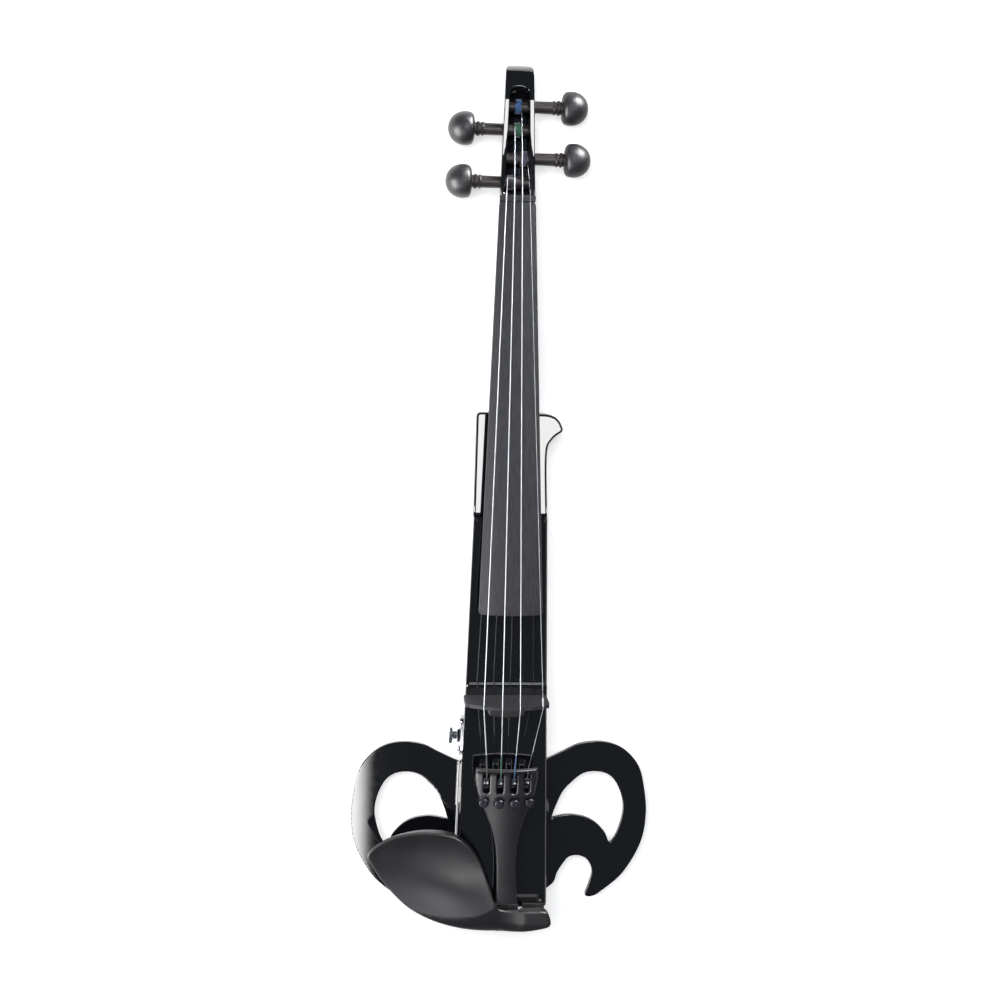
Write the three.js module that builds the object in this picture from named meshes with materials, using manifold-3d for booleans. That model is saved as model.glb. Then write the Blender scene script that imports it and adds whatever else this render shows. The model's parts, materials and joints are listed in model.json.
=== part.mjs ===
// Electric violin with an open, winged body. Millimetres, +Z up.
// The origin lies on the centre line of the flat back, straight under the bridge.
// +X is the treble side, +Y runs to the head, and the back rests on z = 0.

import * as THREE from 'three';
import * as BufferGeometryUtils from 'three/addons/utils/BufferGeometryUtils.js';
import Module from 'manifold-3d';

const wasm = await Module();
wasm.setup();

// Fits shared by all pieces
const seatGap = 0.3;
const runningGap = 0.1;
const cutOverrun = 4;

// Bar, the full-thickness spine of the body
const barThickness = 38;
const barHalfAtStep = 24.6;
const barHalfAtTail = 31.1;
const tailReach = 147.5;
const stepReach = 119;
const barEdgeRadius = 2.2;
const barCornerRadius = 3;

// Shoulder plate at the neck, lower than the bar and sloping to the head
const shoulderReach = 188;
const shoulderHalfWidth = 23.6;
const plateHalfAtStep = 24.3;
const hornReach = 34.4;
const hornFlankAtStep = 25;
const plateThicknessAtStep = 33;
const plateThicknessAtHead = 27;
const plateEdgeRadius = 1.6;
const coveLength = 4.6;
const plateOverlap = 8;

// Wings, thin scrolled boards glued to the sides of the bar
const wingThickness = 14;
const wingReach = 102.4;
const wingTopReach = 38.4;
const wingTipReach = 149;
const wingEdgeRadius = 1.3;
const wingFillet = 4.5;

// Neck, pegbox and head, one piece of wood
const stringStop = 326;
const nutLength = 3.8;
const boardHalfAtNut = 11.9;
const boardHalfAtEnd = 21;
const boardLength = 269;
const boardRiseAtBridge = 27;
const boardTopAtNut = 32.4;
const boardRadius = 42;
const boardSideHeight = 4.5;
const boardHollow = 3;
const boardHollowStart = 116;
const neckDepthAtNut = 13;
const neckDepthAtHeel = 15.5;
const heelStart = 214;
const heelFloor = 3;
const tenonHalfWidth = 15;
const tenonLength = 62;
const tenonFloor = 11;
const pegboxRise = 2.5;
const pegboxTaper = 7;
const pegboxFloor = 2.6;
const headReach = 415;
const headHalfWidth = 9.2;
const headCurl = 1.4;
const cheekThickness = 3.5;
const cavityStart = 331.5;
const cavityEnd = 400.5;
const cavityFloorThickness = 4;

// Pegs, in the order from the nut: G, E, D, A
const pegDrop = 9.3;
const pegRadiusAtCheek = 3.9;
const pegTaper = 1 / 60;
const pegHeadLength = 17.4;
const pegHeadRadius = 11;
const pegCollarRadius = 4.9;
const pegCollarLength = 1.9;
const pegCollarWaist = 0.3;
const gPegReach = 338.9;
const ePegReach = 354.7;
const dPegReach = 373.3;
const aPegReach = 388.6;
const gPegHead = 29.6;
const ePegHead = 31.4;
const dPegHead = 28.4;
const aPegHead = 29.2;

// Strings and the silk wound on the pegs
const gStringRadius = 0.45;
const dStringRadius = 0.42;
const aStringRadius = 0.38;
const eStringRadius = 0.25;
const silkRadius = 0.5;
const silkGap = 0.5;
const silkTurns = 2.5;
const nutSpacing = 5.2;
const nutRise = 0.9;
const ballRadius = 1.6;
const gBridgeOffset = 17.4;
const dBridgeOffset = 5.6;
const aBridgeOffset = 6;
const eBridgeOffset = 21.4;

// Bridge, the plinth under it and the pickup behind it
const bridgeHeight = 33;
const bridgeHalfWidth = 27.6;
const bridgeDrift = 1.3;
const bridgeRadius = 43;
const bridgeFootFront = 0.6;
const bridgeCrownFront = -1.1;
const bridgeBack = 3;
const bridgeCornerRadius = 4;
const cornerInsetShare = 0.6;
const plinthHeight = 3;
const plinthFront = 7.6;
const plinthBack = 6;
const plinthInset = 0.6;
const plinthEdgeRadius = 0.5;
const pickupHalfWidth = 12.5;
const pickupLength = 8.1;
const pickupHeight = 7;
const pickupEdgeRadius = 1;

// Tailpiece with its built-in fine tuners
const tailpieceReach = 45.7;
const tailpieceLength = 95.3;
const tailpieceHalfWidth = 20.6;
const tailpieceTopAtHead = 59.5;
const tailpieceTopAtTail = 49.5;
const tailpieceRadius = 46;
const tailpieceThickness = 3.5;
const tailpieceDrift = 2.6;
const tailpieceFretHeight = 1.1;
const tailpieceFretLength = 2;
const slotLength = 14;
const slotHalfWidth = 2.1;
const slotStart = 2.6;
const slotSpacing = 9;
const leverHalfWidth = 1.5;
const leverHubRadius = 2.3;
const leverArmLength = 8.6;
const leverArmThickness = 1.8;
const leverForkReach = 6;
const leverForkDepth = 2.6;
const leverForkSink = 0.8;
const rodRadius = 1;
const rodDrop = 9;
const rodSetback = 13.8;
const ribHalfThickness = 0.8;
const ribHalfLength = 2.6;
const tunerSpacing = 10.2;
const tunerHeadRadius = 3;
const tunerHeadHeight = 4.2;
const tunerHeadLift = 1;
const tunerShaftRadius = 1.2;
const tunerRecessRadius = 3.4;
const tunerRecessDepth = 1;

// Saddle, end button and the gut loop that holds the tailpiece
const saddleHalfWidth = 11;
const saddleLength = 5;
const saddleHeight = 6.2;
const saddleRounding = 1.5;
const buttonRadius = 7;
const buttonNeckRadius = 4.4;
const buttonFlange = 1.5;
const buttonNeckLength = 3;
const buttonLength = 22.5;
const buttonShankRadius = 3.8;
const buttonShankLength = 20;
const gutRadius = 1;
const gutSpacing = 3.2;
const gutBite = 6;

// Chinrest over the tail, with its clamp
const chinrestTop = 55;
const chinrestLift = 2.5;
const chinrestShell = 7;
const chinrestBowlX = 42;
const chinrestBowlY = 112;
const chinrestBowlRise = 15;
const chinrestBowlDepth = 24;
const chinrestBowlHalfWidth = 60;
const chinrestBowlHalfLength = 40;
const chinrestRounding = 3.5;
const chinrestLeftReach = 91.3;
const chinrestRightReach = 32.6;
const chinrestFrontReach = 90.4;
const chinrestTailReach = 160.6;
const chinrestBeamFront = 143.6;
const chinrestRimDepth = 7.5;
const chinrestFootFront = 134;
const chinrestArchHalfWidth = 12.5;
const chinrestArchRise = 7;
const corkThickness = 1.9;
const corkInset = 2;
const clampSpacing = 19;
const clampStandoff = 5;
const clampRodRadius = 1.5;
const barrelRadius = 3.3;
const barrelLength = 19;
const barrelHoleRadius = 0.8;
const clampRodEngagement = 7;
const clampRodBite = 5;
const footThickness = 1.8;
const footHalfLength = 24;
const footReach = 11;
const footRecessHeight = 5.6;
const footRecessLength = 14;
const footLift = 1.2;
const footCorkThickness = 1.6;

// Volume control on the bass side of the bar
const controlReach = 31.9;
const controlHeight = 20;
const controlPlateLength = 26.2;
const controlPlateWidth = 13;
const controlPlateThickness = 1;
const controlScrewSpacing = 19.1;
const controlScrewRadius = 2;
const controlScrewHead = 0.9;
const controlScrewShank = 0.9;
const controlScrewLength = 9;
const potRadius = 8;
const potDepth = 8;
const potBushRadius = 3.5;
const potNutRadius = 5.1;
const potNutThickness = 1.6;
const potWall = 3.6;
const shaftRadius = 1.9;
const knobNeckRadius = 3;
const knobNeckLength = 3;
const knobRadius = 6.1;
const knobThickness = 2.4;

// Output jack on the treble side of the bar
const jackReach = 82;
const jackHeight = 25.6;
const jackBore = 3.3;
const jackBushRadius = 4.7;
const jackBodyRadius = 5.4;
const jackBodyLength = 20;
const jackNutRadius = 6.6;
const jackNutThickness = 2;
const jackWall = 4;

// Electronics cavity, its cover and the preamplifier board
const cavityHalfWidth = 17.5;
const cavityHeadReach = 13;
const cavityTailReach = 102;
const cavityDepth = 32;
const coverMargin = 6;
const coverThickness = 1.6;
const coverScrewRadius = 2.4;
const coverScrewShank = 1.2;
const coverScrewLength = 9;
const coverScrewInset = 3.6;
const boardThickness = 1.6;
const boardHalfWidth = 16;
const boardHeadReach = 15;
const boardTailReach = 68;

// Battery bay and its hinged door
const batteryWidth = 26.5;
const batteryBodyLength = 48.5;
const batteryHeight = 17.5;
const batteryReach = 28;
const batteryClearance = 1;
const doorThickness = 1.8;
const doorMargin = 3.5;
const doorHingeRadius = 1.8;
const doorHingeHalfLength = 13.5;

// Finishes
const lacquer = { color: 0x15181c, roughness: 0.12, metalness: 0 };
const ebony = { color: 0x3c3b40, roughness: 0.6, metalness: 0 };
const pegWood = { color: 0x2c2422, roughness: 0.35, metalness: 0 };
const satinBlack = { color: 0x38373b, roughness: 0.42, metalness: 0 };
const steel = { color: 0xc9cbce, roughness: 0.25, metalness: 1 };
const chrome = { color: 0xd6d8da, roughness: 0.1, metalness: 1 };
const blackOxide = { color: 0x26272b, roughness: 0.4, metalness: 0.6 };
const cork = { color: 0xb08a5c, roughness: 0.9, metalness: 0 };
const blackPlastic = { color: 0x1c1d20, roughness: 0.5, metalness: 0 };
const gut = { color: 0x17181a, roughness: 0.5, metalness: 0 };
const green = { color: 0x1f5a40, roughness: 0.6, metalness: 0 };
const blue = { color: 0x2a5fae, roughness: 0.7, metalness: 0 };
const silkGreen = { color: 0x27694c, roughness: 0.7, metalness: 0 };
const silkPurple = { color: 0x5c4a75, roughness: 0.7, metalness: 0 };
const silkBlack = { color: 0x25262a, roughness: 0.7, metalness: 0 };

// Solid modelling helpers

const vec = (x, y, z) => new THREE.Vector3(x, y, z);
const mix = THREE.MathUtils.lerp;

function merged(geometry) {
  const bare = new THREE.BufferGeometry();
  bare.setAttribute('position', geometry.getAttribute('position'));
  if (geometry.index) {
    bare.setIndex(geometry.index);
  }
  return BufferGeometryUtils.mergeVertices(bare, 1e-5);
}

function solid(geometry) {
  const clean = merged(geometry);
  const mesh = new wasm.Mesh({
    numProp: 3,
    vertProperties: new Float32Array(clean.getAttribute('position').array),
    triVerts: new Uint32Array(clean.index.array),
  });
  return new wasm.Manifold(mesh);
}

function surface(manifold) {
  const mesh = manifold.getMesh();
  const geometry = new THREE.BufferGeometry();
  geometry.setAttribute('position', new THREE.BufferAttribute(mesh.vertProperties, 3));
  geometry.setIndex(new THREE.BufferAttribute(mesh.triVerts, 1));
  return geometry;
}

function node(name, shape, finish, parent) {
  const isManifold = shape instanceof wasm.Manifold;
  const geometry = isManifold ? surface(shape) : merged(shape);
  geometry.computeVertexNormals();
  const mesh = new THREE.Mesh(geometry, new THREE.MeshStandardMaterial(finish));
  mesh.name = name;
  parent.add(mesh);
  return mesh;
}

function ringNormal(ring) {
  const normal = vec(0, 0, 0);
  ring.forEach((point, i) => {
    normal.add(point.clone().cross(ring[(i + 1) % ring.length]));
  });
  return normal.normalize();
}

function capTriangles(ring, start, along) {
  const normal = ringNormal(ring);
  const axisU = Math.abs(normal.x) > 0.7 ? vec(0, 1, 0) : vec(1, 0, 0);
  const u = axisU.cross(normal).normalize();
  const v = normal.clone().cross(u);
  const flat = ring.map((point) => new THREE.Vector2(point.dot(u), point.dot(v)));
  const triangles = THREE.ShapeUtils.triangulateShape(flat, []);
  return triangles.flatMap(([a, b, c]) => {
    const turn = flat[b].clone().sub(flat[a]).cross(flat[c].clone().sub(flat[a]));
    const corners = turn > 0 === along ? [a, b, c] : [a, c, b];
    return corners.map((corner) => corner + start);
  });
}

// Closed skin through rings of equal point count, capped at both ends
function loft(rings) {
  const count = rings[0].length;
  const last = rings.length - 1;
  const index = [];
  for (let i = 0; i < last; i += 1) {
    for (let j = 0; j < count; j += 1) {
      const a = i * count + j;
      const b = i * count + ((j + 1) % count);
      index.push(a, b, a + count, b, b + count, a + count);
    }
  }
  index.push(...capTriangles(rings[0], 0, false));
  index.push(...capTriangles(rings[last], last * count, true));
  const points = rings.flat();
  let volume = 0;
  for (let i = 0; i < index.length; i += 3) {
    const [a, b, c] = [points[index[i]], points[index[i + 1]], points[index[i + 2]]];
    volume += a.dot(b.clone().cross(c));
  }
  if (volume < 0) {
    index.reverse();
  }
  const geometry = new THREE.BufferGeometry();
  geometry.setAttribute('position', new THREE.Float32BufferAttribute(
    points.flatMap((point) => point.toArray()), 3));
  geometry.setIndex(index);
  return geometry;
}

// Round tube through a list of points, its section carried along without twist
function tube(points, radius, sides) {
  let across = null;
  const rings = points.map((point, i) => {
    const before = points[Math.max(i - 1, 0)];
    const after = points[Math.min(i + 1, points.length - 1)];
    const along = after.clone().sub(before).normalize();
    const seed = across ?? (Math.abs(along.x) < 0.9 ? vec(1, 0, 0) : vec(0, 0, 1));
    across = seed.clone().sub(along.clone().multiplyScalar(seed.dot(along))).normalize();
    const up = along.clone().cross(across);
    return Array.from({ length: sides }, (_, k) => {
      const angle = (k / sides) * 2 * Math.PI;
      return point.clone()
        .add(across.clone().multiplyScalar(radius * Math.cos(angle)))
        .add(up.clone().multiplyScalar(radius * Math.sin(angle)));
    });
  });
  return loft(rings);
}

// Board cut to an outline, its upper and lower edges rounded
function slab(shape, low, high, rounding, steps = 2, curveSegments = 6) {
  const geometry = new THREE.ExtrudeGeometry(shape, {
    depth: high - low - 2 * rounding,
    bevelEnabled: rounding > 0,
    bevelThickness: rounding,
    bevelSize: rounding,
    bevelOffset: -rounding,
    bevelSegments: steps,
    curveSegments,
  });
  return geometry.translate(0, 0, low + rounding);
}

function block(x0, x1, y0, y1, z0, z1) {
  const geometry = new THREE.BoxGeometry(x1 - x0, y1 - y0, z1 - z0);
  return geometry.translate((x0 + x1) / 2, (y0 + y1) / 2, (z0 + z1) / 2);
}

// Profile of [along, radius] pairs turned about the X axis, Y axis or Z axis
function turned(profile, axis, sides) {
  const points = profile.map(([along, radius]) => new THREE.Vector2(radius, along));
  const geometry = new THREE.LatheGeometry(points, sides);
  if (axis === 'x') {
    geometry.rotateZ(-Math.PI / 2);
  }
  if (axis === 'z') {
    geometry.rotateX(Math.PI / 2);
  }
  return geometry;
}

function rod(axis, start, end, radius, sides) {
  return turned([[start, 0], [start, radius], [end, radius], [end, 0]], axis, sides);
}

function roundedBox(halfX, y0, y1, radius) {
  const shape = new THREE.Shape();
  shape.moveTo(-halfX + radius, y0);
  shape.lineTo(halfX - radius, y0);
  shape.absarc(halfX - radius, y0 + radius, radius, -Math.PI / 2, 0, false);
  shape.lineTo(halfX, y1 - radius);
  shape.absarc(halfX - radius, y1 - radius, radius, 0, Math.PI / 2, false);
  shape.lineTo(-halfX + radius, y1);
  shape.absarc(-halfX + radius, y1 - radius, radius, Math.PI / 2, Math.PI, false);
  shape.lineTo(-halfX, y0 + radius);
  shape.absarc(-halfX + radius, y0 + radius, radius, Math.PI, 1.5 * Math.PI, false);
  return shape;
}

// Where the main surfaces lie

const barWiden = (barHalfAtTail - barHalfAtStep) / (tailReach + stepReach);
const wallTurn = Math.atan(barWiden);
const barHalf = (y) => barHalfAtStep + (stepReach - y) * barWiden;
const boardSlope = (barThickness + boardRiseAtBridge - boardTopAtNut) / stringStop;
const boardTop = (y) => boardTopAtNut + (stringStop - y) * boardSlope;
const boardEnd = stringStop - boardLength;
const boardHalf = (y) => mix(boardHalfAtNut, boardHalfAtEnd, (stringStop - y) / boardLength);
const arcDrop = (radius, x) => radius - Math.sqrt(radius * radius - x * x);
const boardBottom = (y) => boardTop(y) - arcDrop(boardRadius, boardHalf(y)) - boardSideHeight;
const neckTop = (y) => boardBottom(y) - seatGap;
const nutBack = stringStop + nutLength;
const cheekTop = (y) => boardBottom(stringStop) + pegboxRise
  - pegboxTaper * (y - nutBack) / (headReach - nutBack);
const bridgeTop = barThickness + bridgeHeight;
const tailpieceEnd = tailpieceReach + tailpieceLength;
const tailpieceCrown = (y) => mix(tailpieceTopAtHead, tailpieceTopAtTail,
  (-y - tailpieceReach) / tailpieceLength);
const tailpieceTop = (x, y) => tailpieceCrown(y) - arcDrop(tailpieceRadius, x);

const violin = new THREE.Group();
violin.name = 'electric_violin';

// Body bar

const coveFoot = stepReach + coveLength;

function barBlank() {
  const shape = new THREE.Shape();
  const tail = -tailReach;
  const corner = barCornerRadius;
  shape.moveTo(-barHalf(tail) + corner, tail);
  shape.lineTo(barHalf(tail) - corner, tail);
  shape.quadraticCurveTo(barHalf(tail), tail, barHalf(tail + corner), tail + corner);
  shape.lineTo(barHalfAtStep, stepReach);
  shape.lineTo(plateHalfAtStep, stepReach);
  shape.lineTo(plateHalfAtStep, coveFoot + barEdgeRadius);
  shape.lineTo(-plateHalfAtStep, coveFoot + barEdgeRadius);
  shape.lineTo(-plateHalfAtStep, stepReach);
  shape.lineTo(-barHalfAtStep, stepReach);
  shape.lineTo(-barHalf(tail + corner), tail + corner);
  shape.quadraticCurveTo(-barHalf(tail), tail, -barHalf(tail) + corner, tail);
  return slab(shape, 0, barThickness, barEdgeRadius, 3, 3);
}

// The horn is the stop for the player's hand: shares of its reach and of the plate's length
const hornShares = [
  [0.7, 0.43],
  [0.7, 0.58],
  [0.713, 0.665],
  [0.739, 0.706],
  [0.798, 0.746],
  [0.858, 0.778],
  [0.918, 0.8],
  [0.977, 0.82],
  [1, 0.842],
  [0.994, 0.865],
  [0.963, 0.901],
  [0.923, 0.933],
  [0.861, 0.962],
  [0.79, 0.978],
  [0.73, 0.987],
  [0.648, 0.992],
];

function plateTop(y) {
  return mix(plateThicknessAtStep, plateThicknessAtHead,
    (y - stepReach) / (shoulderReach - stepReach));
}

function plateBlank() {
  const length = shoulderReach - stepReach;
  const corner = barCornerRadius;
  const shape = new THREE.Shape();
  const start = stepReach - plateOverlap;
  const inner = plateHalfAtStep - barEdgeRadius;
  shape.moveTo(-inner, start);
  shape.lineTo(inner, start);
  shape.lineTo(hornFlankAtStep, stepReach);
  shape.splineThru(hornShares.map(([xShare, yShare]) => new THREE.Vector2(
    xShare * hornReach, stepReach + yShare * length)));
  shape.lineTo(-shoulderHalfWidth + corner, shoulderReach);
  shape.quadraticCurveTo(-shoulderHalfWidth, shoulderReach, -shoulderHalfWidth, shoulderReach - corner);
  shape.lineTo(-plateHalfAtStep - seatGap, stepReach);
  const blank = slab(shape, 0, plateThicknessAtStep, plateEdgeRadius, 2, 3);
  const position = blank.getAttribute('position');
  for (let i = 0; i < position.count; i += 1) {
    const y = position.getY(i);
    const z = position.getZ(i);
    if (z > plateThicknessAtStep / 2) {
      position.setZ(i, z + plateTop(y) - plateThicknessAtStep);
    }
  }
  return blank;
}

// Hollow sweep that takes the end of the bar down to the plate
function coveCut() {
  const shape = new THREE.Shape();
  const end = coveFoot + barEdgeRadius + cutOverrun;
  shape.moveTo(stepReach, barThickness + cutOverrun);
  shape.lineTo(stepReach, barThickness);
  shape.quadraticCurveTo(stepReach, plateTop(coveFoot), coveFoot, plateTop(coveFoot) - seatGap);
  shape.lineTo(end, plateTop(end) - seatGap);
  shape.lineTo(end, barThickness + cutOverrun);
  const geometry = new THREE.ExtrudeGeometry(shape, {
    depth: 2 * barHalfAtTail, bevelEnabled: false, curveSegments: 6,
  });
  geometry.rotateX(Math.PI / 2);
  geometry.rotateZ(Math.PI / 2);
  return geometry.translate(-barHalfAtTail, 0, 0);
}

const controlWallX = -barHalf(-controlReach);
const jackWallX = barHalf(-jackReach);
const coverHead = -cavityHeadReach + coverMargin;
const coverTail = -cavityTailReach - coverMargin;
const coverHalf = cavityHalfWidth + coverMargin;
const coverPocketDepth = coverThickness + 2 * seatGap;
const batteryEnd = batteryReach + batteryBodyLength;
const bayHalf = batteryWidth / 2 + batteryClearance;
const bayHead = batteryEnd + batteryClearance;
const bayTail = batteryReach - batteryClearance;
const bayDepth = doorThickness + batteryHeight + batteryClearance + 2 * seatGap;
const hingeY = bayHead + doorHingeRadius + doorMargin;
const hingeZ = seatGap + doorHingeRadius;
const doorTail = bayTail - doorMargin;
const doorHalf = bayHalf + doorMargin;
const coverScrewPlaces = [
  [-1, coverHead - coverScrewInset], [1, coverHead - coverScrewInset],
  [-1, coverTail + coverScrewInset], [1, coverTail + coverScrewInset],
].map(([side, y]) => [side * (coverHalf - coverScrewInset), y]);

// Places a shape drawn with +X pointing out of the bar's side wall
function onWall(geometry, side, y, z) {
  const turn = side > 0 ? wallTurn : Math.PI - wallTurn;
  return geometry.rotateZ(turn).translate(side * barHalf(y), y, z);
}

const bodyBar = solid(barBlank()).subtract(solid(coveCut())).add(solid(plateBlank()));

const bodyCuts = [
  block(-tenonHalfWidth - seatGap, tenonHalfWidth + seatGap,
    shoulderReach - tenonLength - seatGap, shoulderReach + cutOverrun,
    tenonFloor - seatGap, barThickness + cutOverrun),
  slab(roundedBox(coverHalf + seatGap, coverTail - seatGap, coverHead + seatGap, barCornerRadius),
    -cutOverrun, coverPocketDepth, 0, 1, 3),
  slab(roundedBox(cavityHalfWidth, -cavityTailReach, -cavityHeadReach, barCornerRadius),
    -cutOverrun, cavityDepth, 0, 1, 3),
  block(-bayHalf, bayHalf, bayTail, bayHead, -cutOverrun, bayDepth),
  block(-doorHalf - seatGap, doorHalf + seatGap, doorTail - seatGap,
    hingeY + doorHingeRadius + seatGap, -cutOverrun, doorThickness + 2 * seatGap),
  block(-doorHingeHalfLength - seatGap, doorHingeHalfLength + seatGap,
    hingeY - doorHingeRadius - seatGap, hingeY + doorHingeRadius + seatGap,
    -cutOverrun, hingeZ + doorHingeRadius + seatGap),
  block(-footHalfLength - seatGap, footHalfLength + seatGap, -tailReach - cutOverrun,
    -tailReach + footRecessLength, -cutOverrun, footRecessHeight),
  rod('y', -tailReach - cutOverrun, -tailReach + buttonShankLength + seatGap,
    buttonShankRadius + runningGap, 16).translate(0, 0, barThickness / 2),
  onWall(rod('x', -cavityHalfWidth, cutOverrun, potBushRadius + runningGap, 16),
    -1, -controlReach, controlHeight),
  onWall(rod('x', -barHalfAtTail, -potWall, potRadius + seatGap, 16),
    -1, -controlReach, controlHeight),
  onWall(rod('x', -cavityHalfWidth, cutOverrun, jackBushRadius + runningGap, 16),
    1, -jackReach, jackHeight),
  onWall(rod('x', -cavityHalfWidth, -jackWall, jackBodyRadius + seatGap, 16),
    1, -jackReach, jackHeight),
  ...[-1, 1].map((side) => onWall(
    rod('x', -controlScrewLength - seatGap, cutOverrun, controlScrewShank + runningGap, 10),
    -1, -controlReach + side * controlScrewSpacing / 2, controlHeight)),
  ...coverScrewPlaces.map(([x, y]) => rod('z', -cutOverrun,
    seatGap + coverScrewLength + seatGap, coverScrewShank + runningGap, 10).translate(x, y, 0)),
];
node('body_bar', bodyCuts.reduce((whole, cut) => whole.subtract(solid(cut)), bodyBar), lacquer, violin);

// Wings: outline and hole in shares of the wing's reach and of its length

const wingLength = wingTipReach - wingTopReach;
const wingOuterShares = [
  [0.414, 0.066], [0.53, 0.014], [0.656, 0], [0.77, 0.018], [0.86, 0.067], [0.935, 0.15],
  [0.974, 0.261], [1, 0.456], [0.968, 0.651], [0.852, 0.846], [0.7, 0.97], [0.65, 0.996],
];
const wingTipShares = [[0.618, 1], [0.596, 0.985]];
const wingNotchShares = [
  [0.615, 0.935], [0.64, 0.843], [0.613, 0.769], [0.556, 0.734], [0.485, 0.738],
  [0.444, 0.777], [0.402, 0.841], [0.377, 0.906],
];
const holeCornerShare = [0.351, 0.492];
const holeUpperShares = [
  [0.376, 0.42], [0.422, 0.323], [0.481, 0.26], [0.56, 0.203], [0.655, 0.191],
  [0.735, 0.213], [0.79, 0.268], [0.83, 0.36], [0.84, 0.455], [0.807, 0.58], [0.768, 0.65],
];
const holeLowerShares = [
  [0.748, 0.642], [0.7195, 0.583], [0.652, 0.518], [0.571, 0.482], [0.47, 0.47], [0.4, 0.48],
];

const wingPoint = ([xShare, yShare]) => new THREE.Vector2(
  xShare * wingReach, -wingTopReach - yShare * wingLength);
const wingRootShare = 0.125;

function wingShape() {
  const shape = new THREE.Shape();
  const headY = -wingTopReach - wingRootShare * wingLength;
  const tailY = -tailReach + barCornerRadius;
  const start = new THREE.Vector2(barHalf(headY) + seatGap, headY);
  const end = new THREE.Vector2(barHalf(tailY) + seatGap, tailY);
  shape.moveTo(start.x, start.y);
  shape.splineThru([...wingOuterShares, ...wingTipShares, ...wingNotchShares].map(wingPoint));
  shape.lineTo(end.x, end.y);
  const hole = new THREE.Path();
  const corner = wingPoint(holeCornerShare);
  hole.moveTo(corner.x, corner.y);
  hole.splineThru(holeLowerShares.slice().reverse().map(wingPoint));
  hole.splineThru([...holeUpperShares.slice().reverse(), holeCornerShare].map(wingPoint));
  shape.holes.push(hole);
  return shape;
}

// The cove that blends the wing into the bar's side, drawn in the joint's own line
function wingCove() {
  const headY = -wingTopReach - wingRootShare * wingLength - wingFillet;
  const tailY = -tailReach + barCornerRadius + wingFillet;
  const section = (y) => {
    const x = barHalf(y) + seatGap;
    const low = wingThickness - wingFillet;
    const steps = 4;
    const arc = Array.from({ length: steps + 1 }, (_, i) => {
      const angle = (i / steps) * Math.PI / 2;
      return vec(x + wingFillet * (1 - Math.sin(angle)), y,
        wingThickness + wingFillet * (1 - Math.cos(angle)));
    });
    return [vec(x, y, low), vec(x + wingFillet, y, low), ...arc];
  };
  return loft([section(headY), section(tailY)]);
}

const wingBlank = solid(slab(wingShape(), 0, wingThickness, wingEdgeRadius, 1, 3));
const rightWing = wingBlank.add(solid(wingCove()));
node('right_wing', rightWing, lacquer, violin);
node('left_wing', rightWing.mirror([1, 0, 0]), lacquer, violin);

// Neck with its heel, pegbox and head

const neckRingSteps = 8;

function neckRing(y, half, top, bottom, squareness) {
  const power = 2 / squareness;
  return Array.from({ length: neckRingSteps + 1 }, (_, i) => {
    const angle = (i / neckRingSteps) * Math.PI;
    const across = Math.cos(angle);
    return vec(Math.sign(across) * half * Math.abs(across) ** power, y,
      top - (top - bottom) * Math.abs(Math.sin(angle)) ** power);
  });
}

const pegboxHalf = (y) => mix(boardHalfAtNut - seatGap, headHalfWidth,
  Math.max(0, y - nutBack) / (headReach - nutBack - barEdgeRadius));

function neckRings() {
  const heelEnd = shoulderReach + seatGap;
  const heelShares = [[0, 0], [0.34, 0.06], [0.62, 0.22], [0.82, 0.5], [0.94, 0.8], [1, 1]];
  const heel = heelShares.map(([yShare, depthShare]) => {
    const y = mix(heelStart, heelEnd, yShare);
    const bottom = mix(neckTop(y) - neckDepthAtHeel, heelFloor, depthShare);
    return neckRing(y, boardHalf(y) - seatGap, neckTop(y), bottom, mix(2.2, 3.2, yShare));
  }).reverse();
  const handShares = [0.2, 0.4, 0.6, 0.8, 0.93];
  const hand = handShares.map((share) => {
    const y = mix(heelStart, stringStop, share);
    const depth = mix(neckDepthAtHeel, neckDepthAtNut, share);
    return neckRing(y, boardHalf(y) - seatGap, neckTop(y), neckTop(y) - depth, 2.2);
  });
  const land = boardBottom(stringStop) - seatGap;
  const floor = pegboxFloor;
  const throatShares = [[0, 0.04, 2.3], [0.5, 0.3, 2.8], [1, 0.62, 3.6]];
  const throat = throatShares.map(([yShare, dropShare, squareness]) => neckRing(
    mix(stringStop, nutBack, yShare), boardHalfAtNut - seatGap, land,
    mix(land - neckDepthAtNut, floor, dropShare), squareness));
  const boxShares = [0.01, 0.04, 0.09, 0.16, 0.4, 0.65, 0.8];
  const box = boxShares.map((share) => {
    const y = mix(nutBack, headReach, share);
    const drop = Math.min(1, 0.62 + share * 4.5);
    return neckRing(y, pegboxHalf(y), cheekTop(y), mix(land - neckDepthAtNut, floor, drop), 4.5);
  });
  const depth = cheekTop(headReach) - floor;
  const headShares = [
    [0.86, 1, 0, 0], [0.915, 1, 0.7, 0.02], [0.955, 0.97, 1, 0.1],
    [0.982, 0.92, -0.6, 0.24], [1, 0.84, -3.6, 0.42],
  ];
  const head = headShares.map(([yShare, widthShare, curlShare, liftShare]) => {
    const y = mix(nutBack, headReach, yShare);
    return neckRing(y, pegboxHalf(y) * widthShare, cheekTop(y) + curlShare * headCurl,
      floor + liftShare * depth, 3.6);
  });
  return [...heel, ...hand, ...throat, ...box, ...head];
}

function tenonBlank() {
  const ring = (y) => [
    vec(-tenonHalfWidth, y, tenonFloor), vec(tenonHalfWidth, y, tenonFloor),
    vec(tenonHalfWidth, y, neckTop(y)), vec(-tenonHalfWidth, y, neckTop(y)),
  ];
  return loft([ring(shoulderReach - tenonLength), ring(shoulderReach + cutOverrun)]);
}

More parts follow.
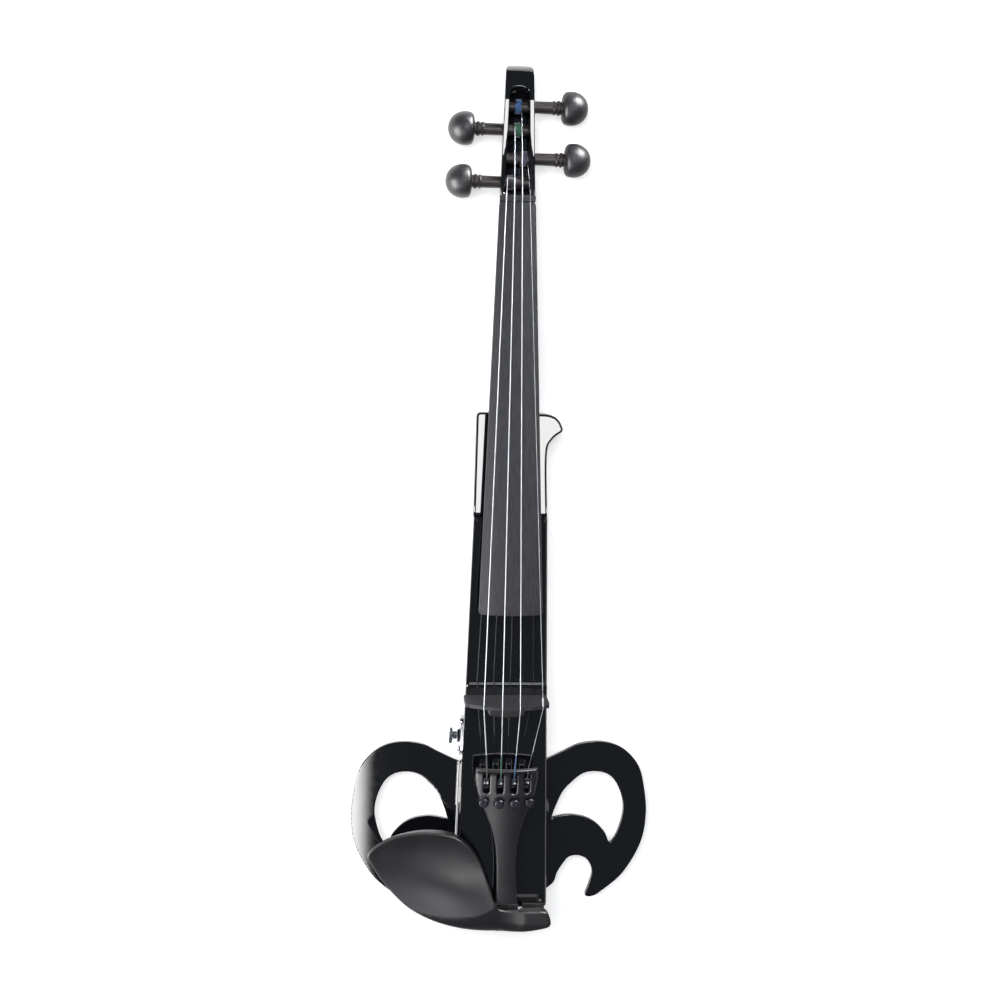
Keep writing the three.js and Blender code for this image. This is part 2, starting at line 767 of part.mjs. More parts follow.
function cavityCut() {
  const widthAt = (y) => pegboxHalf(y) - cheekThickness;
  const ring = (y, widthShare) => {
    const half = widthAt(y) * widthShare;
    const floor = pegboxFloor + cavityFloorThickness;
    const bevel = half * 0.3;
    return [
      vec(-half + bevel, y, floor), vec(half - bevel, y, floor), vec(half, y, floor + bevel),
      vec(half, y, cheekTop(y) + cutOverrun), vec(-half, y, cheekTop(y) + cutOverrun),
      vec(-half, y, floor + bevel),
    ];
  };
  const roundEnd = widthAt(cavityEnd);
  return loft([
    ring(cavityStart, 1), ring(mix(cavityStart, cavityEnd, 0.5), 1), ring(cavityEnd - roundEnd, 1),
    ring(cavityEnd - roundEnd * 0.5, 0.87), ring(cavityEnd - roundEnd * 0.13, 0.5), ring(cavityEnd, 0.2),
  ]);
}

const pegs = [
  { letter: 'g', side: -1, y: gPegReach, head: gPegHead, silk: silkBlack },
  { letter: 'd', side: -1, y: dPegReach, head: dPegHead, silk: silkGreen },
  { letter: 'a', side: 1, y: aPegReach, head: aPegHead, silk: blue },
  { letter: 'e', side: 1, y: ePegReach, head: ePegHead, silk: silkPurple },
];
const pegZ = (y) => cheekTop(y) - pegDrop;
const pegRadius = (reach, y) => pegRadiusAtCheek + (reach - pegboxHalf(y)) * pegTaper;

function pegHole(peg) {
  const out = pegboxHalf(peg.y) + cutOverrun;
  const spare = runningGap;
  const cone = turned([
    [-out, 0], [-out, pegRadius(-out, peg.y) + spare], [out, pegRadius(out, peg.y) + spare], [out, 0],
  ], 'x', 16);
  if (peg.side < 0) {
    cone.rotateZ(Math.PI);
  }
  return cone.translate(0, peg.y, pegZ(peg.y));
}

const neckBlank = solid(loft(neckRings())).add(solid(tenonBlank()));
const neckCuts = [cavityCut(), ...pegs.map(pegHole)];
node('neck', neckCuts.reduce((whole, cut) => whole.subtract(solid(cut)), neckBlank), lacquer, violin);

// Fingerboard, hollowed under its free end

function fingerboard() {
  const steps = 8;
  const ring = (y, hollow) => {
    const half = boardHalf(y);
    const top = Array.from({ length: steps + 1 }, (_, i) => {
      const x = mix(-half, half, i / steps);
      return vec(x, y, boardTop(y) - arcDrop(boardRadius, x));
    });
    const base = Array.from({ length: steps + 1 }, (_, i) => {
      const x = mix(half, -half, i / steps);
      const share = Math.max(0, 1 - (x / half) ** 2 * 1.35);
      return vec(x, y, boardBottom(y) + hollow * share);
    });
    return [...top, ...base];
  };
  const rings = [
    ring(stringStop - seatGap, 0), ring(mix(boardHollowStart, stringStop, 0.5), 0),
    ring(boardHollowStart, 0), ring(mix(boardHollowStart, boardEnd, 0.25), boardHollow),
    ring(boardEnd, boardHollow),
  ];
  return loft(rings);
}

node('fingerboard', fingerboard(), ebony, violin);

// Strings: where each one crosses the nut, the bridge and the tailpiece

const strings = [
  { letter: 'g', nut: -1.5, bridge: -gBridgeOffset, slot: -1.5, radius: gStringRadius, lead: -1 },
  { letter: 'd', nut: -0.5, bridge: -dBridgeOffset, slot: -0.5, radius: dStringRadius, lead: 1 },
  { letter: 'a', nut: 0.5, bridge: aBridgeOffset, slot: 0.5, radius: aStringRadius, lead: -1 },
  { letter: 'e', nut: 1.5, bridge: eBridgeOffset, slot: 1.5, radius: eStringRadius, lead: -1 },
];
const nutCrest = (x) => boardTop(stringStop) + nutRise - arcDrop(boardRadius, x);
const bridgeCrest = (x) => bridgeTop - arcDrop(bridgeRadius, x);
const slotX = (string) => string.slot * slotSpacing;
const nutX = (string) => string.nut * nutSpacing;
const forkY = -tailpieceReach - rodSetback + leverForkReach;
const forkZ = (x) => tailpieceTop(x, forkY) - leverForkSink;

// Tangent from the crest of the nut to the top of the silk on the peg
function silkExit(string, peg) {
  const axis = new THREE.Vector2(peg.y, pegZ(peg.y));
  const crest = new THREE.Vector2(nutBack, nutCrest(nutX(string)) + string.radius);
  const reach = crest.clone().sub(axis);
  const radius = pegRadius(0, peg.y) + silkRadius + seatGap;
  const angle = Math.atan2(reach.y, reach.x) - Math.acos(radius / reach.length());
  return { radius, angle, y: axis.x + radius * Math.cos(angle), z: axis.y + radius * Math.sin(angle) };
}

function silkStart(string, peg) {
  const half = pegboxHalf(peg.y) - cheekThickness - silkRadius - silkGap;
  return THREE.MathUtils.clamp(nutX(string) * 0.8, -half, half);
}

const silkPitch = 2 * silkRadius + silkGap;

function silkPath(string, peg) {
  const exit = silkExit(string, peg);
  const perTurn = 16;
  const count = silkTurns * perTurn;
  const inward = nutX(string) > 0 ? -1 : 1;
  return Array.from({ length: count + 1 }, (_, i) => {
    const turns = i / perTurn;
    const angle = exit.angle - turns * 2 * Math.PI;
    return vec(silkStart(string, peg) + inward * turns * silkPitch,
      peg.y + exit.radius * Math.cos(angle), pegZ(peg.y) + exit.radius * Math.sin(angle));
  });
}

function leastGap(path, radius, skip) {
  let least = Infinity;
  for (let i = 0; i < path.length; i += 1) {
    for (let j = i + skip; j < path.length; j += 1) {
      least = Math.min(least, path[i].distanceTo(path[j]) - 2 * radius);
    }
  }
  return least;
}

function stringPath(string, peg) {
  const exit = silkExit(string, peg);
  const x = nutX(string);
  const r = string.radius;
  const start = vec(silkStart(string, peg), exit.y, exit.z);
  const nutEdge = vec(x, nutBack, nutCrest(x) + r);
  const lead = nutEdge.clone().sub(start).setLength(seatGap);
  const crest = bridgeCrest(string.bridge) + r;
  const end = slotX(string);
  const fretZ = tailpieceTop(end, -tailpieceReach) + tailpieceFretHeight + r + runningGap;
  const fretBack = -tailpieceReach - tailpieceFretLength;
  const fork = vec(end, forkY, forkZ(end));
  const ball = fork.clone().add(vec(0, -leverArmThickness / 2 - leverForkSink - ballRadius, 0));
  return [
    start.add(lead), nutEdge,
    vec(x, mix(nutBack, stringStop, 0.5), nutCrest(x) + r + runningGap),
    vec(x, stringStop, nutCrest(x) + r),
    vec(string.bridge, bridgeCrownFront, crest), vec(string.bridge, -bridgeBack, crest),
    vec(end, -tailpieceReach, fretZ), vec(end, fretBack, fretZ), fork, ball,
  ];
}

function stringSolid(string, peg) {
  const path = stringPath(string, peg);
  const wire = solid(tube(path, string.radius, 6));
  const ball = new THREE.SphereGeometry(ballRadius, 8, 6);
  ball.translate(...path[path.length - 1].toArray());
  return wire.add(solid(ball));
}

function grooves(list, reach) {
  return list.map(({ x, y, z, radius }) => rod('y', y - reach, y + reach, radius + seatGap, 8)
    .translate(x, 0, z));
}

strings.forEach((string) => {
  const peg = pegs.find((each) => each.letter === string.letter);
  const silk = silkPath(string, peg);
  console.log(`silk ${string.letter} least gap ${leastGap(silk, silkRadius, 9).toFixed(2)} mm`);
  node(`string_${string.letter}`, stringSolid(string, peg), steel, violin);
});

// Nut

function nut() {
  const half = boardHalfAtNut - seatGap;
  const steps = 6;
  const land = boardBottom(stringStop);
  const shape = new THREE.Shape();
  shape.moveTo(-half, land);
  shape.lineTo(half, land);
  for (let i = 0; i <= steps; i += 1) {
    const x = mix(half, -half, i / steps);
    shape.lineTo(x, nutCrest(x));
  }
  const geometry = new THREE.ExtrudeGeometry(shape, { depth: nutLength - seatGap, bevelEnabled: false });
  geometry.rotateX(Math.PI / 2);
  const cuts = grooves(strings.map((string) => ({
    x: nutX(string), y: nutBack, z: nutCrest(nutX(string)) + string.radius, radius: string.radius,
  })), nutLength * 2);
  return cuts.reduce((whole, cut) => whole.subtract(solid(cut)),
    solid(geometry.translate(0, nutBack - seatGap, 0)));
}

node('nut', nut(), ebony, violin);

// Pegs with their silk

// Head profile in shares of its length and radius: flat next to the collar, then a dome
const pegHeadShares = [
  [0, 0.74], [0.05, 0.87], [0.16, 0.97], [0.33, 1], [0.5, 0.965], [0.66, 0.865], [0.8, 0.71],
  [0.91, 0.5], [0.975, 0.27], [1, 0],
];

function pegSolid(peg) {
  const tip = -pegboxHalf(peg.y) + runningGap;
  const start = peg.head;
  const collar = pegCollarLength;
  const ring = (x) => pegRadius(x, peg.y);
  const waist = pegCollarRadius - pegCollarWaist;
  const head = pegHeadShares.map(([along, across]) => [
    start + along * pegHeadLength, across * pegHeadRadius]);
  return turned([
    [tip, 0], [tip, ring(tip)], [start - 3 * collar, ring(start - 3 * collar)],
    [start - 2.7 * collar, waist], [start - 2.1 * collar, waist],
    [start - 1.8 * collar, ring(start)], [start - 1.5 * collar, pegCollarRadius],
    [start - 0.8 * collar, pegCollarRadius], [start - 0.5 * collar, ring(start)],
    [start, ring(start)], ...head,
  ], 'x', 14);
}

pegs.forEach((peg) => {
  const string = strings.find((each) => each.letter === peg.letter);
  const group = new THREE.Group();
  group.position.set(0, peg.y, pegZ(peg.y));
  group.rotation.z = peg.side < 0 ? Math.PI : 0;
  violin.add(group);
  node(`peg_${peg.letter}`, pegSolid(peg), pegWood, group);
  const silk = tube(silkPath(string, peg), silkRadius, 5);
  node(`peg_silk_${peg.letter}`, silk, peg.silk, violin);
});

// Bridge plinth, bridge and pickup

function plinth() {
  const half = barHalf(0) - plinthInset;
  const base = barThickness + seatGap;
  return slab(roundedBox(half, -plinthBack, plinthFront, plinthEdgeRadius * 3), base,
    barThickness + plinthHeight, plinthEdgeRadius, 1, 2);
}

function bridge() {
  const foot = barThickness + plinthHeight + seatGap;
  const corner = bridgeCornerRadius;
  const steps = 14;
  const left = -bridgeHalfWidth - bridgeDrift;
  const right = bridgeHalfWidth - bridgeDrift;
  const innerLeft = left + corner * cornerInsetShare;
  const innerRight = right - corner * cornerInsetShare;
  const shape = new THREE.Shape();
  shape.moveTo(left, foot);
  shape.lineTo(right, foot);
  shape.lineTo(right, bridgeCrest(right) - corner);
  shape.quadraticCurveTo(right, bridgeCrest(innerRight), innerRight, bridgeCrest(innerRight));
  for (let i = 1; i < steps; i += 1) {
    const x = mix(innerRight, innerLeft, i / steps);
    shape.lineTo(x, bridgeCrest(x));
  }
  shape.lineTo(innerLeft, bridgeCrest(innerLeft));
  shape.quadraticCurveTo(left, bridgeCrest(innerLeft), left, bridgeCrest(left) - corner);
  const depth = bridgeFootFront + bridgeBack;
  const geometry = new THREE.ExtrudeGeometry(shape, { depth, bevelEnabled: false, curveSegments: 4 });
  geometry.rotateX(Math.PI / 2);
  geometry.translate(0, bridgeFootFront, 0);
  const lean = Math.atan((bridgeFootFront - bridgeCrownFront) / (bridgeTop - foot));
  const reach = bridgeHalfWidth * 2;
  const front = block(-reach, reach, 0, bridgeHeight, -bridgeHeight, bridgeHeight * 2);
  front.rotateX(lean);
  front.translate(0, bridgeFootFront, foot);
  const cuts = [front, ...grooves(strings.map((string) => ({
    x: string.bridge, y: 0, z: bridgeCrest(string.bridge) + string.radius, radius: string.radius,
  })), bridgeHeight)];
  return cuts.reduce((whole, cut) => whole.subtract(solid(cut)), solid(geometry));
}

function pickup() {
  const front = -plinthBack - seatGap;
  const back = front - pickupLength;
  const half = pickupHalfWidth;
  const shape = new THREE.Shape();
  shape.moveTo(-half, front);
  shape.lineTo(-half, mix(front, back, 0.45));
  shape.quadraticCurveTo(-half, mix(front, back, 0.8), -half * 0.8, mix(front, back, 0.85));
  shape.quadraticCurveTo(0, back - pickupLength * 0.15, half * 0.8, mix(front, back, 0.85));
  shape.quadraticCurveTo(half, mix(front, back, 0.8), half, mix(front, back, 0.45));
  shape.lineTo(half, front);
  return slab(shape, barThickness + seatGap, barThickness + pickupHeight, pickupEdgeRadius, 2, 6);
}

node('bridge_plinth', plinth(), lacquer, violin);
node('bridge', bridge(), ebony, violin);
node('pickup_capsule', pickup(), satinBlack, violin);

// Tailpiece: shares of its length against shares of its half width

const tailpieceShares = [
  [0, 0.99], [0.07, 1], [0.14, 0.955], [0.21, 0.87], [0.29, 0.72], [0.38, 0.56], [0.47, 0.43],
  [0.57, 0.345], [0.7, 0.305], [0.8, 0.308], [0.9, 0.335], [1, 0.36],
];
const rodY = -tailpieceReach - rodSetback;
const rodZ = tailpieceCrown(rodY) - rodDrop;
const screwY = rodY - leverArmLength;
const screwX = (string) => string.slot * tunerSpacing;

// The narrow end stands a little to the treble side
const tailpieceShift = (y) => tailpieceDrift * ((-y - tailpieceReach) / tailpieceLength) ** 2;

function tailpieceRing(y, half, lift) {
  const steps = 6;
  const under = Math.min(tailpieceThickness, half);
  const arc = (from, to, drop) => Array.from({ length: steps + 1 }, (_, i) => {
    const x = mix(from, to, i / steps);
    return vec(x + tailpieceShift(y), y, tailpieceTop(x, y) + drop);
  });
  return [...arc(-half, half, lift), ...arc(half * 0.94, -half * 0.94, -under)];
}

function tailpiece() {
  const rings = tailpieceShares.map(([lengthShare, widthShare]) => tailpieceRing(
    -tailpieceReach - lengthShare * tailpieceLength, widthShare * tailpieceHalfWidth, 0));
  const fretHalf = tailpieceHalfWidth * 0.96;
  const fret = loft([
    tailpieceRing(-tailpieceReach, fretHalf, tailpieceFretHeight),
    tailpieceRing(-tailpieceReach - tailpieceFretLength, fretHalf, tailpieceFretHeight),
  ]);
  const ribXs = [-1.98, -1, 0, 1, 1.98].map((share) => share * slotSpacing);
  const ribs = ribXs.map((x) => block(x - ribHalfThickness, x + ribHalfThickness,
    rodY - ribHalfLength, rodY + ribHalfLength, rodZ - rodRadius - 2 * ribHalfThickness,
    tailpieceTop(x, rodY) - tailpieceThickness / 2));
  const slotTop = -tailpieceReach - slotStart;
  const slots = strings.map((string) => slab(
    roundedBox(slotHalfWidth, slotTop - slotLength, slotTop, slotHalfWidth * 0.6),
    rodZ, tailpieceTopAtHead + cutOverrun, 0, 1, 2).translate(slotX(string), 0, 0));
  const bores = strings.flatMap((string) => {
    const x = screwX(string);
    const top = tailpieceTop(x, screwY);
    return [
      rod('z', rodZ, tailpieceTopAtHead + cutOverrun, tunerShaftRadius + seatGap, 8)
        .translate(x, screwY, 0),
      rod('z', top - tunerRecessDepth, tailpieceTopAtHead + cutOverrun, tunerRecessRadius, 12)
        .translate(x, screwY, 0),
    ];
  });
  const rodHole = rod('x', -tailpieceHalfWidth * 2, tailpieceHalfWidth * 2, rodRadius + runningGap, 12);
  rodHole.translate(0, rodY, rodZ);
  const gutHoles = [-1, 1].map((side) => rod('y', -tailpieceEnd - cutOverrun,
    -tailpieceEnd + gutBite, gutRadius + seatGap, 10)
    .translate(side * gutSpacing + tailpieceDrift, 0, gutTopZ));
  const whole = [fret, ...ribs].reduce((sum, each) => sum.add(solid(each)), solid(loft(rings)));
  return [...slots, ...bores, rodHole, ...gutHoles].reduce((rest, cut) => rest.subtract(solid(cut)), whole);
}

const gutTopZ = tailpieceTopAtTail - tailpieceThickness / 2;
node('tailpiece', tailpiece(), satinBlack, violin);

const rodHalf = slotSpacing * 1.98 + ribHalfThickness;
node('tuner_rod', rod('x', -rodHalf, rodHalf, rodRadius, 12).translate(0, rodY, rodZ), steel, violin);

// Fine tuner levers and screws

function tunerLever(string) {
  const x = slotX(string);
  const fork = forkZ(x) + leverForkDepth / 2;
  const half = leverArmThickness / 2;
  const shape = new THREE.Shape();
  shape.absarc(rodY, rodZ, leverHubRadius, 0, 2 * Math.PI, false);
  const post = new THREE.Shape([
    new THREE.Vector2(rodY - half, rodZ), new THREE.Vector2(rodY + half, rodZ - half),
    new THREE.Vector2(forkY + half, fork - leverForkDepth * 1.5), new THREE.Vector2(forkY + half, fork),
    new THREE.Vector2(forkY - half, fork), new THREE.Vector2(forkY - half, fork - leverForkDepth * 1.3),
  ]);
  const arm = new THREE.Shape([
    new THREE.Vector2(screwY - leverHubRadius, rodZ - half * 1.6),
    new THREE.Vector2(rodY, rodZ - half * 1.6),
    new THREE.Vector2(rodY, rodZ + half * 0.4),
    new THREE.Vector2(screwY - leverHubRadius, rodZ + half * 0.4),
  ]);
  const bar = (outline, halfWidth) => {
    const geometry = new THREE.ExtrudeGeometry(outline, {
      depth: 2 * halfWidth, bevelEnabled: false, curveSegments: 10,
    });
    geometry.rotateX(Math.PI / 2);
    geometry.rotateZ(Math.PI / 2);
    return geometry.translate(-halfWidth, 0, 0);
  };
  const padX = screwX(string) - x;
  const pad = rod('z', rodZ - half * 1.6, rodZ + half * 0.4, leverHubRadius, 12).translate(padX, screwY, 0);
  const bore = rod('x', -cutOverrun, cutOverrun, rodRadius + runningGap, 12).translate(0, rodY, rodZ);
  const notch = block(-string.radius - seatGap, string.radius + seatGap, forkY - leverForkDepth,
    forkY + leverForkDepth, fork - leverForkDepth, fork + cutOverrun);
  return solid(bar(shape, leverHalfWidth)).add(solid(bar(post, leverHalfWidth)))
    .add(solid(bar(arm, leverHalfWidth))).add(solid(pad))
    .subtract(solid(bore)).subtract(solid(notch)).translate([x, 0, 0]);
}

function tunerScrew(string) {
  const x = screwX(string);
  const head = tailpieceTop(x, screwY) + tunerHeadLift;
  const tip = rodZ + leverArmThickness * 0.2 + seatGap;
  const rim = tunerHeadRadius * 0.14;
  const profile = [
    [tip, 0], [tip, tunerShaftRadius], [head - seatGap, tunerShaftRadius], [head, tunerHeadRadius - rim],
    [head + rim, tunerHeadRadius], [head + tunerHeadHeight - rim, tunerHeadRadius],
    [head + tunerHeadHeight, tunerHeadRadius - 2 * rim], [head + tunerHeadHeight + rim, 0],
  ];
  return turned(profile, 'z', 12).translate(x, screwY, 0);
}

strings.forEach((string) => {
  node(`tuner_lever_${string.letter}`, tunerLever(string), steel, violin);
  node(`tuner_screw_${string.letter}`, tunerScrew(string), blackOxide, violin);
});

// Saddle, end button and tailgut

const saddleFront = -tailReach + saddleLength;
const buttonZ = barThickness / 2;

function saddle() {
  const top = barThickness + saddleHeight;
  const round = saddleRounding;
  const shape = new THREE.Shape();
  shape.moveTo(-tailReach + seatGap, barThickness + seatGap);
  shape.lineTo(saddleFront, barThickness + seatGap);
  shape.lineTo(saddleFront, top - round);
  shape.quadraticCurveTo(saddleFront, top, saddleFront - round, top);
  shape.quadraticCurveTo(-tailReach + seatGap, top, -tailReach + seatGap, top - 2 * round);
  const geometry = new THREE.ExtrudeGeometry(shape, {
    depth: 2 * saddleHalfWidth, bevelEnabled: false, curveSegments: 4,
  });
  geometry.rotateX(Math.PI / 2);
  geometry.rotateZ(Math.PI / 2);
  return geometry.translate(-saddleHalfWidth, 0, 0);
}

function endButton() {
  const face = -tailReach - seatGap;
  const neck = face - buttonFlange;
  const knob = neck - buttonNeckLength;
  const end = face - buttonLength;
  return turned([
    [-tailReach + buttonShankLength, 0], [-tailReach + buttonShankLength, buttonShankRadius * 0.85],
    [face, buttonShankRadius], [face, buttonRadius * 0.95], [neck, buttonRadius * 0.95],
    [neck - seatGap, buttonNeckRadius], [knob + seatGap, buttonNeckRadius], [knob, buttonRadius * 0.86],
    [mix(knob, end, 0.5), buttonRadius], [mix(knob, end, 0.85), buttonRadius * 0.9],
    [mix(knob, end, 0.96), buttonRadius * 0.6], [end, 0],
  ].reverse(), 'y', 16).translate(0, 0, buttonZ);
}

function tailgut() {
  const loopY = -tailReach - seatGap - buttonFlange - buttonNeckLength / 2;
  const loopRadius = buttonNeckRadius + gutRadius + seatGap;
  const overSaddle = barThickness + saddleHeight + gutRadius + runningGap;
  const start = -tailpieceEnd + gutBite - seatGap;
  const side = (sign) => [
    vec(sign * gutSpacing + tailpieceDrift, start, gutTopZ),
    vec(sign * gutSpacing + tailpieceDrift, -tailpieceEnd - seatGap, gutTopZ),
    vec(sign * gutSpacing + tailpieceDrift / 2, saddleFront - saddleRounding, overSaddle),
    vec(sign * gutSpacing + tailpieceDrift / 2, mix(-tailReach, saddleFront, 0.3), overSaddle),
    vec(sign * mix(gutSpacing, loopRadius, 0.1), loopY + gutRadius, overSaddle - 2 * gutRadius),
    vec(sign * mix(gutSpacing, loopRadius, 0.2), loopY, overSaddle - 4 * gutRadius),
    vec(sign * mix(gutSpacing, loopRadius, 0.7), loopY, mix(overSaddle, buttonZ, 0.6)),
  ];
  const steps = 10;
  const loop = Array.from({ length: steps + 1 }, (_, i) => {
    const angle = Math.PI + (i / steps) * Math.PI;
    return vec(loopRadius * Math.cos(angle), loopY, buttonZ + loopRadius * Math.sin(angle));
  });
  return tube([...side(-1), ...loop, ...side(1).reverse()], gutRadius, 8);
}

node('saddle', saddle(), ebony, violin);
node('end_button', endButton(), ebony, violin);
node('tailgut', tailgut(), gut, violin);

// Chinrest: a carved bowl on the bass side and a beam across the tail

// Outline round the bowl in shares of its reach to the left, and of the way from its front to its tail
const chinrestShares = [
  [-0.03, 0.987], [-0.225, 0.962], [-0.39, 0.908], [-0.541, 0.832],
  [-0.676, 0.73], [-0.795, 0.6], [-0.901, 0.438], [-0.977, 0.3], [-0.987, 0.19],
  [-0.905, 0.107], [-0.789, 0.033], [-0.641, 0], [-0.522, 0], [-0.404, 0.017],
  [-0.314, 0.073], [-0.238, 0.168], [-0.176, 0.289], [-0.129, 0.429], [-0.09, 0.57],
  [-0.057, 0.691],
];
const chinrestBottom = barThickness + chinrestLift;
const bowlZ = chinrestTop + chinrestBowlRise;

function ellipsoid(grow) {
  const geometry = new THREE.SphereGeometry(1, 22, 12);
  geometry.scale(chinrestBowlHalfWidth + grow, chinrestBowlHalfLength + grow, chinrestBowlDepth + grow);
  return geometry.translate(-chinrestBowlX, -chinrestBowlY, bowlZ);
}

function chinrestShape() {
  const shape = new THREE.Shape();
  const length = chinrestTailReach - chinrestFrontReach;
  const point = ([xShare, yShare]) => new THREE.Vector2(
    xShare * chinrestLeftReach, -chinrestFrontReach - yShare * length);
  const front = -chinrestBeamFront;
  const back = -chinrestTailReach;
  const right = chinrestRightReach;
  const round = (front - back) * 0.45;
  const [last] = chinrestShares.slice(-1);
  const leftStart = point(last);
  shape.moveTo(leftStart.x, leftStart.y);
  shape.quadraticCurveTo(leftStart.x + chinrestRounding * 0.5, front, chinrestRounding, front);
  shape.lineTo(right - round * 0.6, front);
  shape.quadraticCurveTo(right, front - round * 0.35, right, mix(back, front, 0.5));
  shape.quadraticCurveTo(right, mix(back, front, 0.25), right * 0.8, mix(back, front, 0.16));
  const [first] = chinrestShares;
  const leftEnd = point(first);
  shape.quadraticCurveTo(right * 0.5, mix(back, front, 0.03), leftEnd.x, leftEnd.y);
  shape.splineThru(chinrestShares.slice(1).map(point));
  return shape;
}

function chinrest() {
  const front = -chinrestBeamFront;
  const back = -chinrestTailReach;
  const left = -barHalfAtTail * 0.9;
  const blank = slab(chinrestShape(), chinrestBottom, chinrestTop, chinrestRounding, 3, 3);
  const top = chinrestTop + cutOverrun;
  const base = chinrestBottom - cutOverrun;
  const parts = [
    ellipsoid(chinrestShell),
    block(-wingReach, barHalfAtTail + wingReach, back - cutOverrun, 0, chinrestTop - chinrestRimDepth, top),
    block(left, barHalfAtTail * 2, back - cutOverrun, front + cutOverrun, base, top),
    block(left, -chinrestArchHalfWidth, back - cutOverrun, -chinrestFootFront, base, top),
  ];
  const stock = parts.slice(1).reduce((sum, each) => sum.add(solid(each)), solid(parts[0]));
  const arch = block(-chinrestArchHalfWidth, chinrestArchHalfWidth, back - cutOverrun,
    front + cutOverrun, base, chinrestBottom + chinrestArchRise);
  const clearance = block(-chinrestArchHalfWidth, chinrestArchHalfWidth, front - cutOverrun * 2,
    front + cutOverrun * 2, base, tailpieceTopAtTail + seatGap * 2);
  const sockets = [-1, 1].map((side) => rod('z', base, chinrestBottom + clampRodBite + seatGap,
    clampRodRadius + runningGap, 12).translate(side * clampSpacing, clampY, 0));
  return [ellipsoid(0), arch, clearance, ...sockets].reduce(
    (rest, cut) => rest.subtract(solid(cut)), solid(blank).intersect(stock));
}

const clampY = -tailReach - clampStandoff;
node('chinrest', chinrest(), satinBlack, violin);

const corkHalf = (barHalfAtTail - chinrestArchHalfWidth) / 2 - corkInset;
const corkX = (barHalfAtTail + chinrestArchHalfWidth) / 2;
['left', 'right'].forEach((name, i) => {
  const side = i === 0 ? -1 : 1;
  const front = i === 0 ? -chinrestFootFront : -chinrestBeamFront;
  const pad = block(-corkHalf, corkHalf, -tailReach + seatGap, front - seatGap,
    barThickness + seatGap, barThickness + seatGap + corkThickness);
  node(`chinrest_cork_${name}`, pad.translate(side * corkX, 0, 0), cork, violin);
});

// Clamp: two rods in the chinrest, two threaded barrels and a hooked foot

const barrelTop = chinrestBottom - 2 * clampRodRadius;
const barrelBottom = barrelTop - barrelLength;
const footTop = footLift + footThickness;

function clampBarrel(side) {
  const rim = barrelRadius * 0.86;
  const inner = clampRodRadius + runningGap;
  const profile = [
    [barrelBottom, inner], [barrelBottom, rim], [barrelBottom + inner, barrelRadius],
    [barrelTop - inner, barrelRadius], [barrelTop, rim], [barrelTop, inner], [barrelBottom, inner],
  ];
  const tommyHole = rod('x', -barrelRadius * 2, barrelRadius * 2, barrelHoleRadius, 8)
    .translate(0, 0, (barrelTop + barrelBottom) / 2);
  return solid(turned(profile, 'z', 12)).subtract(solid(tommyHole))
    .translate([side * clampSpacing, clampY, 0]);
}

function clampFoot() {
  const outline = roundedBox(footHalfLength, clampY - barrelRadius, -tailReach + footReach, barCornerRadius);
  const plate = slab(outline, footLift, footTop, 0, 1, 3);
  const posts = [-1, 1].map((side) => rod('z', footLift + footThickness / 2,
    barrelBottom + clampRodEngagement, clampRodRadius, 12).translate(side * clampSpacing, clampY, 0));
  return posts.reduce((whole, post) => whole.add(solid(post)), solid(plate));
}

['left', 'right'].forEach((name, i) => {
  const side = i === 0 ? -1 : 1;
  const upper = rod('z', barrelTop - clampRodEngagement, chinrestBottom + clampRodBite, clampRodRadius, 12);
  node(`clamp_rod_${name}`, upper.translate(side * clampSpacing, clampY, 0), steel, violin);
  node(`clamp_barrel_${name}`, clampBarrel(side), chrome, violin);
});
node('clamp_foot', clampFoot(), chrome, violin);
node('clamp_foot_cork', block(-footHalfLength + corkInset, footHalfLength - corkInset,
  -tailReach + seatGap, -tailReach + footReach - seatGap, footTop + seatGap,
  footTop + seatGap + footCorkThickness), cork, violin);

// Volume control, drawn with +X out of the wall

function controlPlate() {
  const shape = roundedBox(controlPlateWidth / 2, -controlPlateLength / 2, controlPlateLength / 2,
    controlPlateWidth * 0.3);
  const plate = slab(shape, 0, controlPlateThickness, 0, 1, 4);
  const bores = [-1, 1].map((side) => rod('z', -cutOverrun, cutOverrun,
    controlScrewShank + runningGap, 10).translate(0, side * controlScrewSpacing / 2, 0));
  const bush = rod('z', -cutOverrun, cutOverrun, potBushRadius + runningGap, 20);
  const cut = [...bores, bush].reduce((rest, each) => rest.subtract(solid(each)), solid(plate));
  return surface(cut).rotateY(Math.PI / 2).translate(seatGap, 0, 0);
}

const plateFace = seatGap + controlPlateThickness;
const nutFace = plateFace + runningGap + potNutThickness;

function nutRing(radius, bore, low, high) {
  return solid(rod('x', low, high, radius, 6)).subtract(
    solid(rod('x', low - cutOverrun, high + cutOverrun, bore, 20)));
}

function volumePot() {
  const back = -potWall - seatGap;
  const can = rod('x', back - potDepth, back, potRadius, 24);
  const bush = rod('x', back - potDepth / 2, nutFace, potBushRadius, 20);
  const hole = rod('x', back - potDepth - cutOverrun, nutFace + cutOverrun, shaftRadius + runningGap, 16);
  return solid(can).add(solid(bush)).subtract(solid(hole));
}

function volumeKnob() {
  const base = nutFace + seatGap;
  const neck = base + knobNeckLength;
  const rim = knobThickness * 0.2;
  return turned([
    [base, 0], [base, knobNeckRadius], [neck, knobNeckRadius], [neck, knobRadius - rim],
    [neck + rim, knobRadius], [neck + knobThickness - rim, knobRadius],
    [neck + knobThickness, knobRadius - rim], [neck + knobThickness, 0],
  ], 'x', 24);
}

function volumeShaft() {
  return rod('x', -potWall - seatGap - potDepth + runningGap, nutFace + seatGap / 2, shaftRadius, 16);
}

